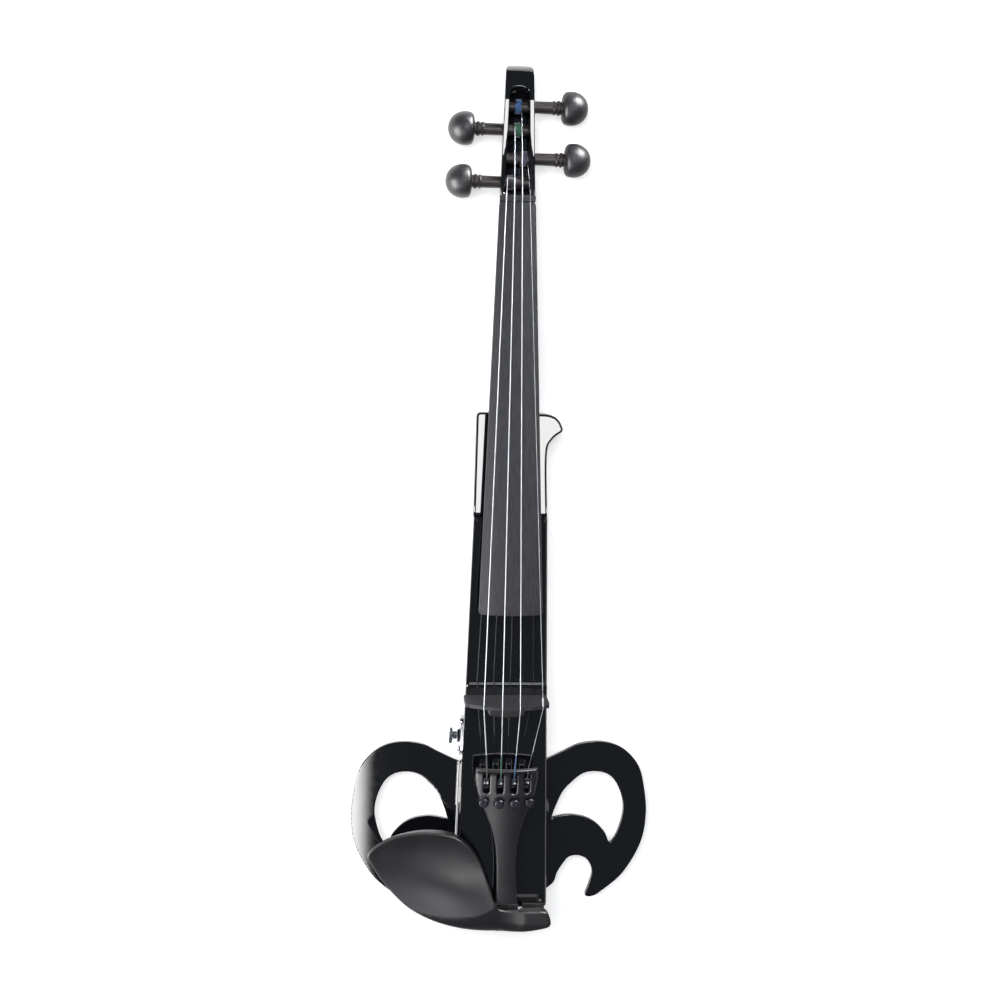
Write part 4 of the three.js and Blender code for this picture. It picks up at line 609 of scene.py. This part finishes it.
WING_REACH, WING_TOP_REACH, WING_LENGTH = 102.4, 38.4, 110.6
WING_OUTER = [
    (0.414, 0.066), (0.53, 0.014), (0.656, 0), (0.77, 0.018), (0.86, 0.067), (0.935, 0.15),
    (0.974, 0.261), (1, 0.456), (0.968, 0.651), (0.852, 0.846), (0.7, 0.97), (0.65, 0.996),
    (0.618, 1), (0.596, 0.985), (0.615, 0.935), (0.64, 0.843), (0.613, 0.769), (0.556, 0.734),
    (0.485, 0.738), (0.444, 0.777), (0.402, 0.841), (0.377, 0.906),
]
WING_HOLE_LOWER = [
    (0.351, 0.492), (0.4, 0.48), (0.47, 0.47), (0.571, 0.482), (0.652, 0.518), (0.7195, 0.583),
    (0.748, 0.642), (0.768, 0.65),
]
WING_HOLE_UPPER = [
    (0.768, 0.65), (0.807, 0.58), (0.84, 0.455), (0.83, 0.36), (0.79, 0.268), (0.735, 0.213),
    (0.655, 0.191), (0.56, 0.203), (0.481, 0.26), (0.422, 0.323), (0.376, 0.42), (0.351, 0.492),
]


def wing(side):
    def place(shares):
        return [(x * WING_REACH, -WING_TOP_REACH - y * WING_LENGTH) for x, y in shares]

    head = -WING_TOP_REACH - 0.125 * WING_LENGTH
    tail = -TAIL_REACH + 3
    root = [(bar_half(head) + SEAT_GAP, head), (bar_half(tail) + SEAT_GAP, tail)]
    free = smooth_curve([root[0], *place(WING_OUTER), root[1]], 12)
    join = evenly([root[1], root[0]], 1.5, closed=False)[1:-1]
    free_even = evenly(free, 1.2, closed=False)
    outline = np.vstack([free_even, join])[::-1]
    hole = evenly(np.vstack([smooth_curve(place(shares), 10)[:-1]
                             for shares in (WING_HOLE_LOWER, WING_HOLE_UPPER)]), 1.2)
    edge, under, cove, thickness = 0.3, 12, 0.4, 14

    def top(x, y, depth, pit):
        sweep = np.clip(x - bar_half(y) - SEAT_GAP, 0, cove)
        rise = cove - np.sqrt(cove ** 2 - (cove - sweep) ** 2)
        return thickness - rounding(edge, depth) + rise

    def base(x, y, depth):
        return rounding(under, depth)

    points, faces = board(outline, top, base, holes=[hole], soft=[free_even, loop(hole)], grid=2.2,
                          rows=(0.08, 0.3, 1.2, 2.6, 4.6))
    if side < 0:
        points = points * (-1, 1, 1)
        faces = [face[::-1] for face in faces]
    return points, faces


piece("wing_right", wing(1), "lacquer", stands_for=["right_wing"])
piece("wing_left", wing(-1), "lacquer", stands_for=["left_wing"])


# Chinrest: one moulded plate with a bowl, a rolled rim and a beam over the tail

CHINREST_EDGE = [
    (-90.6, -104.6), (-82.6, -97.5), (-72, -92.9), (-58.5, -90.4), (-47.7, -90.3),
    (-36.9, -91.9), (-28.7, -95.8), (-21.7, -102.4), (-16.1, -110.9), (-11.8, -120.6),
    (-8.4, -130.4), (-5.6, -138.6), (-1.8, -142.8), (7.9, -143.5), (19, -143.7),
    (27.1, -143.8), (30.3, -145.6), (32.1, -150.4), (31.9, -154.2), (27.5, -156.6),
    (13.9, -159), (-2.7, -159.6), (-20.5, -158), (-35.6, -154.2), (-49.4, -148.9), (-61.7, -141.7),
    (-72.6, -132.5), (-82.3, -121.2), (-88.8, -110.4),
]


def chinrest():
    outline = evenly(smooth_curve(CHINREST_EDGE, 12, closed=True), 1.3)[::-1]
    rim, half_length, half_width, turn = 54.8, 50.5, 29, math.radians(-21)
    centre_x, centre_y, bowl_depth, rim_edge = -49, -115, 8.2, 1.5
    seat, shell_high, arch_high, thinnest = 40.5, 47.5, 50.2, 1.5
    shell_edge, beam_edge = 2.4, 8.5

    def top(x, y, depth, pit):
        along = (x - centre_x) * math.cos(turn) + (y - centre_y) * math.sin(turn)
        across = (y - centre_y) * math.cos(turn) - (x - centre_x) * math.sin(turn)
        reach = np.sqrt(np.square(along / half_length) + np.square(across / half_width))
        bowl = bowl_depth * np.maximum(1 - reach ** 2.2, 0)
        beyond = np.maximum(reach - 1, 0) * half_width
        at_tail, left_of_beam = np.clip((-y - 128) / 12, 0, 1), np.clip((14 - x) / 16, 0, 1)
        lip = np.minimum(0.3 * beyond, 4) * at_tail * left_of_beam
        tail = 0.035 * np.maximum(0, -y - 151) ** 2
        return rim - bowl - lip - tail - rounding(rim_edge, depth)

    def base(x, y, depth):
        reach = np.square((x + 42) / 67) + np.square((y + 112) / 47)
        shell = np.clip(70 - 31 * np.sqrt(np.maximum(1 - reach, 0)), seat, shell_high)
        beam = np.clip((x + 31) / 4, 0, 1) * np.clip((-y - 132) / 3, 0, 1)
        low = mix(shell, seat, beam)
        arch = np.clip((12.5 - np.abs(x)) / 2.5, 0, 1)
        low = np.maximum(low, mix(seat, arch_high, arch * np.clip((-y - 120) / 4, 0, 1)))
        low = low + rounding(mix(shell_edge, beam_edge, beam * (1 - arch)), depth)
        return np.minimum(low, top(x, y, depth, depth) - thinnest)

    return board(outline, top, base, rows=(0.12, 0.4, 0.9, 1.5, 2.4, 4, 6), grid=1.6)


piece("chinrest_plate", chinrest(), "satin_black", stands_for=["chinrest"])


# Tailpiece: curved waisted shell with a raised fret, four string slots and four screw wells

TAILPIECE_REACH, TAILPIECE_LENGTH, TAILPIECE_HALF, TAILPIECE_RADIUS = 45.7, 95.3, 20.6, 46
TAILPIECE_SHARES = [
    (0, 0.985), (0.03, 0.997), (0.07, 1), (0.14, 0.955), (0.21, 0.87), (0.29, 0.72),
    (0.38, 0.56), (0.47, 0.43), (0.57, 0.345), (0.7, 0.305), (0.8, 0.308), (0.9, 0.335),
    (1, 0.36),
]
SCREW_Y, SLOT_SPACING, SCREW_SPACING = -68.1, 9, 10.2
SLOT_HALF, WELL_RADIUS, SHELL_THICKNESS, WELL_DEPTH, FRET_HEIGHT = 2.1, 3.4, 3.5, 1.2, 1.1
ROD_REACH = 13.8


def tailpiece_share(y):
    return (-y - TAILPIECE_REACH) / TAILPIECE_LENGTH


def tailpiece_shift(y):
    return 2.6 * np.square(np.clip(tailpiece_share(y), 0, 1))


def tailpiece_top(x, y):
    return mix(59.5, 49.5, tailpiece_share(y)) - arc_drop(TAILPIECE_RADIUS, x)


def tailpiece():
    sides = smooth_curve([(half * TAILPIECE_HALF, -TAILPIECE_REACH - share * TAILPIECE_LENGTH)
                          for share, half in TAILPIECE_SHARES], 10)
    drift = tailpiece_shift(sides[:, 1])
    right = np.stack([sides[:, 0] + drift, sides[:, 1]], 1)
    left = np.stack([-sides[:, 0] + drift, sides[:, 1]], 1)
    outline = evenly(np.vstack([right[::-1], left]), 0.9)
    slots = [evenly(rounded_box(slot * SLOT_SPACING - SLOT_HALF, slot * SLOT_SPACING + SLOT_HALF,
                                -62.3, -48.3, 1.5), 0.7) for slot in STRING_SLOT.values()]
    wells = [np.array([(slot * SCREW_SPACING + WELL_RADIUS * math.cos(turn),
                        SCREW_Y + WELL_RADIUS * math.sin(turn))
                       for turn in np.arange(32) / 32 * 2 * math.pi])
             for slot in STRING_SLOT.values()]

    def top(x, y, depth, pit):
        level = tailpiece_top(x - tailpiece_shift(y), y) - rounding(1.1, depth)
        fret = np.clip((-y - TAILPIECE_REACH) / 2.2, 0, 1)
        return level + FRET_HEIGHT * np.sqrt(np.maximum(1 - fret ** 3, 0)) - rounding(0.4, pit)

    def base(x, y, depth):
        level = tailpiece_top(x - tailpiece_shift(y), y)
        return level - SHELL_THICKNESS + rounding(0.8, depth)

    def floor(x, y, pit):
        return tailpiece_top(x - tailpiece_shift(y), y) - WELL_DEPTH

    def rib_top(x, y, depth, pit):
        return tailpiece_top(x, y) - 1.5

    def rib_base(x, y, depth):
        return 46.6 + 0 * x

    shell = board(outline, top, base, holes=slots, pits=wells, floor=floor,
                  rows=(0.12, 0.4, 0.75, 1.2), grid=1.7)
    rib_line, rib_half, rib_reach = -TAILPIECE_REACH - ROD_REACH, 0.8, 2.6
    ribs = [board(rounded_box(x - rib_half, x + rib_half, rib_line - rib_reach,
                              rib_line + rib_reach, 0.4, 2),
                  rib_top, rib_base, rows=(0.3,), grid=1.2)
            for x in (-17.8, -9, 0, 9, 17.8)]
    return together(shell, *ribs)


piece("tailpiece_shell", tailpiece(), "satin_black", stands_for=["tailpiece"])


# Fine tuner screws: flat knurled heads that stand over their wells

def tuner_screw(letter):
    x = STRING_SLOT[letter] * SCREW_SPACING
    head = float(tailpiece_top(x, SCREW_Y)) + 1
    tip = 49.5
    teeth = 26
    rises = [(-0.3, 1.1), (0, 2.3), (0.35, 2.86), (0.8, 3), (3.2, 3), (3.7, 2.9), (4, 2.6),
             (4.15, 1.9), (4.1, 0.9), (4.05, 0.1)]
    profile = [(tip, 0.6), (tip + 0.4, 1.1)] + [(head + rise, radius) for rise, radius in rises]

    def knurl(along, turns):
        rim = head + 0.5 < along < head + 3.6
        return 1 - (0.045 * (0.5 + 0.5 * np.cos(turns * teeth)) if rim else 0)

    return moved(turned(profile, "z", teeth * 6, knurl), x=x, y=SCREW_Y)


for letter in STRING_SLOT:
    piece(f"tuner_head_{letter}", tuner_screw(letter), "black_oxide", f"tuner_screw_{letter}",
          [f"tuner_screw_{letter}"])


# Neck: hand part and heel, and the pegbox with its open cavity and rolled rims

def neck_ring(y, half, top, bottom, squareness, steps=28):
    power = 2 / squareness
    turns = np.linspace(0, math.pi, steps + 1)
    across = np.cos(turns)
    x = np.sign(across) * half * np.abs(across) ** power
    z = top - (top - bottom) * np.abs(np.sin(turns)) ** power
    return np.stack([x, np.full(len(x), y), z], 1)


def hand_part():
    heel_y, block_y, round_neck, thick, thin, inset = 214, 188.3, 2.2, 15.5, 13, 0.3

    def neck_top(y):
        return board_bottom(y) - SEAT_GAP

    stations = []
    for share, depth in [(1, 1), (0.94, 0.8), (0.82, 0.5), (0.62, 0.22), (0.34, 0.06), (0, 0)]:
        y = mix(heel_y, block_y, share)
        stations.append((y, board_half(y) - inset, neck_top(y),
                         mix(neck_top(y) - thick, 3, depth), mix(round_neck, 3.2, share)))
    for share in (0.2, 0.4, 0.6, 0.8, 0.93):
        y = mix(heel_y, STRING_STOP, share)
        stations.append((y, board_half(y) - inset, neck_top(y),
                         neck_top(y) - mix(thick, thin, share), round_neck))
    top_at_stop = neck_top(STRING_STOP)
    for share, drop, squareness in ((0, 0.04, 2.3), (0.5, 0.3, 2.8), (1, 0.55, 3.4)):
        stations.append((mix(STRING_STOP, 330.6, share), PEGBOX_HALF_AT_NUT, top_at_stop,
                         mix(top_at_stop - thin, 2.6, drop), squareness))
    return loft([neck_ring(*station) for station in smooth_curve(stations, 6)])


def cheek_top(y):
    heights = smooth_curve([(NUT_BACK, 28.7), (338, 28), (347, 27), (354, 26.3), (358, 26.08),
                            (376, 25.92), (388, 25.86), (391.5, 25.84), (392.5, 25.76),
                            (397, 25.3), (404, 24.6), (410, 24), (HEAD_REACH, 23.4)], 6)
    return np.interp(y, heights[:, 0], heights[:, 1])


def pegbox():
    right = [(pegbox_half(y), y) for y in np.linspace(NUT_BACK, 408, 30)]
    corner = [(pegbox_half(411) - 0.1, 411.2), (pegbox_half(412) - 0.7, 413.2),
              (pegbox_half(413) - 2, 414.5), (pegbox_half(414) - 4, 414.95),
              (2.5, HEAD_REACH), (0, HEAD_REACH)]
    half = np.array(right + corner)
    outline = evenly(np.vstack([half, (half * (-1, 1))[::-1][1:]]), 0.9)
    wall = [(pegbox_half(y) - 3.3, y) for y in np.linspace(331.5, 395.6, 24)]
    bow = [(pegbox_half(397) - 3.6, 397.3), (pegbox_half(398.5) - 4.6, 398.6), (2.6, 399.6),
           (0, 399.9)]
    inner = smooth_curve(wall + bow, 3)
    cavity = evenly(np.vstack([inner, (inner * (-1, 1))[::-1][1:]]), 0.9)

    def top(x, y, depth, pit):
        past = np.maximum(y - 409.6, 0)
        end = 0.85 * past + 0.16 * past ** 2
        side = rounding(0.4, np.where((y < 332) | (y > 412), 9, depth))
        roll = mix(2.2, 0.35, np.clip((y - 350) / 22, 0, 1))
        roll = roll + 0.2 * np.clip((y - 392) / 5, 0, 1)
        return cheek_top(y) - end - side - roll * rounding(1, pit / roll)

    def base(x, y, depth):
        across = np.clip(np.abs(x) / pegbox_half(y), 0, 1)
        belly = 11 * (1 - (1 - across ** 4.5) ** (1 / 4.5))
        start = np.clip((NUT_BACK + 18 - y) / 18, 0, 1)
        painted_reflection_glow = 8 * start ** 2
        tip = rounding(9, np.maximum(HEAD_REACH - y, 0)) * 1.15
        return 2.6 + np.maximum(belly, 0) + painted_reflection_glow + tip * (1 - across * 0.2)

    def floor(x, y, pit):
        return 12.4 - 0.095 * (y - 331.5) + 0.2 * x + rounding(0.5, pit)

    return board(outline, top, base, pits=[cavity], floor=floor,
                 rows=(0.12, 0.35, 0.6, 0.85, 1.2, 2, 3), grid=1.2)


piece("neck_and_pegbox", together(hand_part(), pegbox()), "lacquer", stands_for=["neck"])


# Fingerboard: cambered blank with eased edges, hollowed under its free end

def fingerboard():
    rings = []
    corner = 0.9
    spots = [(325.7, 1), (325.2, 0.5)] + [(y, 0) for y in np.linspace(323, 59, 34)]
    for y, ease in spots + [(57.5, 0.5), (57, 1.1)]:
        half = board_half(y)
        wide = half - ease
        across = np.linspace(-wide + corner, wide - corner, 33)
        crown = board_top(y) - arc_drop(BOARD_RADIUS, across) - ease * 0.5
        turns = np.radians(np.linspace(80, 0, 5))
        side_x = wide - corner + corner * np.cos(turns)
        side_z = crown[-1] - corner + corner * np.sin(turns)
        under = board_bottom(y) + ease * 0.3
        hollow = 3 * np.clip((116 - y) / 15, 0, 1)
        below = np.linspace(wide - 0.4, -wide + 0.4, 17)
        below_z = under + hollow * np.maximum(0, 1 - np.square(below / half) * 1.35)
        ring = [*zip(across, crown), *zip(side_x, side_z), (wide, under + 0.4),
                *zip(below, below_z), (-wide, under + 0.4), *zip(-side_x[::-1], side_z[::-1])]
        rings.append(np.array([(x, y, z) for x, z in ring]))
    return loft(rings)


piece("fingerboard_blank", fingerboard(), "ebony", stands_for=["fingerboard"])


# Pegs: turned ebony, a ringed collar and a hand-rubbed domed head

def peg_shapes(letter):
    y = PEG_REACH[letter]
    start = PEG_HEAD_START[letter]
    cheek = pegbox_half(y)

    def radius(x):
        return PEG_RADIUS + (x - cheek) / PEG_TAPER

    tip = -cheek + 0.1
    collar = [(-5.9, 4.45), (-5.5, 4.7), (-4.9, 4.7), (-4.5, 4.4), (-4.2, 4.05), (-3.6, 4.05),
              (-3.3, 4.5), (-2.9, 4.9), (-1.9, 4.9), (-1.5, 4.6), (-1.1, 4.15), (-0.1, 4.1),
              (0.4, 4.2)]
    shaft = [(tip, 2.2), (tip + 0.25, radius(tip) - 0.35), (tip + 0.8, radius(tip)),
             (start - 6.2, radius(start - 6.2)), *((start + x, size) for x, size in collar)]
    dome = [(0, 0.36), (0.012, 0.62), (0.04, 0.79), (0.1, 0.915), (0.19, 0.975), (0.32, 1),
            (0.47, 0.985), (0.62, 0.915), (0.75, 0.8), (0.86, 0.64), (0.94, 0.44), (0.985, 0.22),
            (1, 0.02)]
    head = smooth_curve([(start + along * PEG_HEAD_LENGTH, across * PEG_HEAD_RADIUS)
                         for along, across in dome], 4)
    turn = math.pi if PEG_SIDE[letter] < 0 else 0
    return [moved(turned(profile, "x", 64), 0, y, peg_height(y), turn)
            for profile in (shaft, head)]


for letter in PEG_REACH:
    shaft, head = peg_shapes(letter)
    piece(f"peg_shaft_{letter}", shaft, "peg_wood", f"peg_{letter}", [f"peg_{letter}"])
    piece(f"peg_head_{letter}", head, "peg_wood", f"peg_{letter}", look="peg_head")


# Strings: wire from the peg over nut and bridge to the ball end in its slot, with its silks

SILK_DEPTH, SILK_TURNS, SILK_PITCH, SILK_THREAD, LAP = 0.8, 5, 0.76, 0.37, 0.1
BALL_PROFILE = [(-1.5, 0.7), (-1.45, 1.2), (-1.1, 1.55), (-0.6, 1.3), (0, 1.15), (0.6, 1.3),
                (1.1, 1.55), (1.45, 1.2), (1.5, 0.7)]


def nut_crest(x):
    return float(board_top(STRING_STOP) + 0.9 - arc_drop(BOARD_RADIUS, x))


def bridge_crest(x):
    return float(BAR_TOP + 33 - arc_drop(BRIDGE_RADIUS, x))


def silk_exit(letter):
    y = PEG_REACH[letter]
    axis = (y, peg_height(y))
    crest = (NUT_BACK, nut_crest(STRING_SLOT[letter] * NUT_SPACING) + STRING_SEAT[letter])
    reach = (crest[0] - axis[0], crest[1] - axis[1])
    radius = PEG_RADIUS - pegbox_half(y) / PEG_TAPER + SILK_DEPTH
    angle = math.atan2(reach[1], reach[0]) - math.acos(radius / math.hypot(*reach))
    return radius, angle


def silk_start(letter):
    half = pegbox_half(PEG_REACH[letter]) - 4.5
    return float(np.clip(STRING_SLOT[letter] * NUT_SPACING * 0.8, -half, half))


def string_path(letter):
    seat = STRING_SEAT[letter]
    radius, angle = silk_exit(letter)
    y = PEG_REACH[letter]
    x = STRING_SLOT[letter] * NUT_SPACING
    start = (silk_start(letter), y + radius * math.cos(angle),
             peg_height(y) + radius * math.sin(angle))
    over = nut_crest(x) + seat
    end = STRING_SLOT[letter] * SLOT_SPACING
    at_bridge = STRING_AT_BRIDGE[letter]
    crest = bridge_crest(at_bridge) + seat
    fret_gap = 0.1
    fret = float(tailpiece_top(end, -TAILPIECE_REACH)) + FRET_HEIGHT + seat + fret_gap
    fork_y = -TAILPIECE_REACH - ROD_REACH + 6
    fork_z = float(tailpiece_top(end, fork_y)) - 0.8
    return np.array([
        start, (x, NUT_BACK, over), (x, 327.9, over + 0.1), (x, STRING_STOP, over),
        (at_bridge, -1.1, crest), (at_bridge, -3, crest), (end, -TAILPIECE_REACH, fret),
        (end, -TAILPIECE_REACH - 2, fret), (end, fork_y, fork_z), (end, fork_y - 1, fork_z - 1.6),
    ])


# Keeps every bend of a path tight while the straights get few points
def with_bends(path, near=0.5):
    points = [path[0]]
    for before, here, after in zip(path, path[1:], path[2:]):
        back, ahead = before - here, after - here
        step = min(near, np.linalg.norm(back) / 3, np.linalg.norm(ahead) / 3)
        points += [here + back / np.linalg.norm(back) * step, here,
                   here + ahead / np.linalg.norm(ahead) * step]
    points.append(path[-1])
    return np.array(points)


def along_path(path, start_y, end_y):
    ys = path[:, 1]
    known = np.unique(np.concatenate([ys, [start_y, end_y]]))
    marks = [y for y in known if end_y <= y <= start_y][::-1]
    return np.array([[np.interp(-y, -ys, path[:, k]) for k in range(3)] for y in marks])


for letter in PEG_REACH:
    path = string_path(letter)
    radius = STRING_RADIUS[letter]
    wire = tube(with_bends(path), radius, 12)
    ball_centre = path[-1] + (0, -0.8, -0.6)
    ball = moved(turned(smooth_curve(BALL_PROFILE, 3), "x", 32), *ball_centre)
    piece(f"string_wire_{letter}", together(wire, ball), "string_steel",
          stands_for=[f"string_{letter}"])
    lap = tube(with_bends(along_path(path[4:], -34.5, -52.5), 0.3), radius + LAP, 12)
    piece(f"lower_silk_{letter}", lap, SILK[letter])
    turns = np.linspace(0, SILK_TURNS, SILK_TURNS * 28 + 1)
    reach, angle = silk_exit(letter)
    inward = -1 if STRING_SLOT[letter] > 0 else 1
    y = PEG_REACH[letter]
    coil = np.stack([silk_start(letter) + inward * turns * SILK_PITCH,
                     y + (reach - 0.05) * np.cos(angle - turns * 2 * math.pi),
                     peg_height(y) + (reach - 0.05) * np.sin(angle - turns * 2 * math.pi)], 1)
    piece(f"silk_winding_{letter}", tube(coil, SILK_THREAD, 10), SILK[letter],
          stands_for=[f"peg_silk_{letter}"])

# Clear tube that keeps the thinnest string from cutting into the bridge
sleeve = along_path(string_path("e")[3:6], 4.2, -1.3)
piece("bridge_sleeve", tube(sleeve, 0.6, 16), "string_steel", look="sleeve")


# Studio: white table, four lit cloth panels that only gloss sees, two soft boxes and a dim room

TABLE_REACH, TABLE_DROP = 3000, -0.4
# LEFT_GLOW and RIGHT_GLOW set the painted reflection that gloss sees in the table
CAMERA_LIFT, LEFT_GLOW, RIGHT_GLOW = 0.5, 1.25, 0.1
GLOW_FADES_FROM, GLOW_FADES_TO = -40, 30
ROOM_STRENGTH, BACKDROP_STRENGTH = 0.16, 1.0


def stage_sheet(name, corners, material):
    mesh = bpy.data.meshes.new(name)
    mesh.from_pydata([tuple(value * MM for value in corner) for corner in corners], [],
                     [(0, 1, 2, 3)])
    mesh.materials.append(material)
    sheet = bpy.data.objects.new(name, mesh)
    bpy.context.scene.collection.objects.link(sheet)
    return sheet


# Matt white paper, burnt out to the camera; gloss sees a painted glow on it, a painted reflection
# that is bright on the left and dim on the right
def white_paper():
    paper, tree, shader, place = finish("white_paper", "#f2f2f2", 0.9)
    shader.inputs["Specular IOR Level"].default_value = 0.1
    path = add(tree, "ShaderNodeLightPath")
    mirrored = add(tree, "ShaderNodeMath", {0: path.outputs["Is Glossy Ray"],
                                            1: path.outputs["Is Transmission Ray"]},
                   operation="MAXIMUM")
    across = add(tree, "ShaderNodeSeparateXYZ", {"Vector": place})
    left = add(tree, "ShaderNodeMapRange", {"Value": across.outputs["X"]},
               **{"From Min": GLOW_FADES_FROM * MM, "From Max": GLOW_FADES_TO * MM,
                  "To Min": LEFT_GLOW, "To Max": RIGHT_GLOW})
    # Glow that only glossy rays see: a painted reflection of the table, strong on the left
    painted_reflection_glow = add(tree, "ShaderNodeMath", {0: mirrored.outputs[0], 1: left.outputs[0]},
               operation="MULTIPLY")
    seen = add(tree, "ShaderNodeMath", {0: path.outputs["Is Camera Ray"]}, operation="MULTIPLY")
    seen.inputs[1].default_value = CAMERA_LIFT
    both = add(tree, "ShaderNodeMath", {0: painted_reflection_glow.outputs[0], 1: seen.outputs[0]}, operation="ADD")
    glow = add(tree, "ShaderNodeEmission", {"Strength": both.outputs[0]})
    mixed = add(tree, "ShaderNodeAddShader", {0: shader.outputs[0], 1: glow.outputs[0]})
    tree.links.new(mixed.outputs[0], tree.nodes["Material Output"].inputs["Surface"])
    return paper


# Cloth lit from behind, which fades to black between the two places given across the room
def lit_cloth(strength, dark_at, bright_at):
    cloth, tree, _, place = finish("lit_cloth", "#000000", 1)
    across = add(tree, "ShaderNodeSeparateXYZ", {"Vector": place})
    fade = add(tree, "ShaderNodeMapRange", {"Value": across.outputs["X"]},
               interpolation_type="SMOOTHSTEP",
               **{"From Min": dark_at * MM, "From Max": bright_at * MM,
                  "To Min": 0.0, "To Max": strength})
    glow = add(tree, "ShaderNodeEmission", {"Strength": fade.outputs[0]})
    tree.links.new(glow.outputs[0], tree.nodes["Material Output"].inputs["Surface"])
    return cloth


def gloss_panel(name, corners, strength, dark_at, bright_at):
    sheet = stage_sheet(name, corners, lit_cloth(strength, dark_at, bright_at))
    sheet.visible_camera = sheet.visible_diffuse = False


def softbox(name, centre, target, size, power):
    data = bpy.data.lights.new(name, "AREA")
    data.shape = "RECTANGLE"
    data.size, data.size_y = (side * MM for side in size)
    data.energy = power
    lamp = bpy.data.objects.new(name, data)
    bpy.context.scene.collection.objects.link(lamp)
    lamp.location = Vector(centre) * MM
    lamp.rotation_euler = (Vector(target) - Vector(centre)).to_track_quat("-Z", "Y").to_euler()
    return lamp


def dim_room():
    world = bpy.data.worlds.new("dim_room")
    bpy.context.scene.world = world
    world.use_nodes = True
    tree = world.node_tree
    room = tree.nodes["Background"]
    room.inputs["Color"].default_value = linear("#d3dbe6")
    room.inputs["Strength"].default_value = ROOM_STRENGTH
    backdrop = add(tree, "ShaderNodeBackground", Strength=BACKDROP_STRENGTH)
    backdrop.inputs["Color"].default_value = linear("#ffffff")
    path = add(tree, "ShaderNodeLightPath")
    mixed = add(tree, "ShaderNodeMixShader",
                {0: path.outputs["Is Camera Ray"], 1: room.outputs[0], 2: backdrop.outputs[0]})
    tree.links.new(mixed.outputs[0], tree.nodes["World Output"].inputs["Surface"])


stage_sheet("table_top", [(x * TABLE_REACH, y * TABLE_REACH, TABLE_DROP)
                          for x, y in ((-1, -1), (1, -1), (1, 1), (-1, 1))], white_paper())
# Shines in the left wing
gloss_panel("ceiling_panel", [(-330, -660, 1400), (-60, -660, 1400), (-60, -390, 1400),
                              (-330, -390, 1400)], 12.3, -68, -102)
# Shines along the bar's left edge
gloss_panel("side_panel", [(-700, -420, 120), (-700, 330, 120), (-560, 330, 620),
                           (-560, -420, 620)], 18.0, -300, -400)
# Shines in the peg heads
gloss_panel("far_panel", [(680, 1640, 250), (1180, 1160, 250), (1060, 1040, 900),
                          (560, 1520, 900)], 66.0, 400, 500)
# Shines in the chinrest's bowl
gloss_panel("bowl_panel", [(-680, -1000, 1300), (-360, -1000, 1300), (-360, -680, 1400),
                           (-680, -680, 1400)], 9.5, -350, -420)
# Shines in the shoulder plate and lights the head
softbox("head_box", (160, 415, 1400), (160, 415, 0), (220, 580), 4.6)
# Gives matt surfaces their level and the table its shadow, and gloss doesn't see it
softbox("key_box", (-520, 520, 1300), (0, 80, 0), (900, 900), 20).visible_glossy = False
dim_room()

bpy.context.scene.view_settings.view_transform = "Standard"
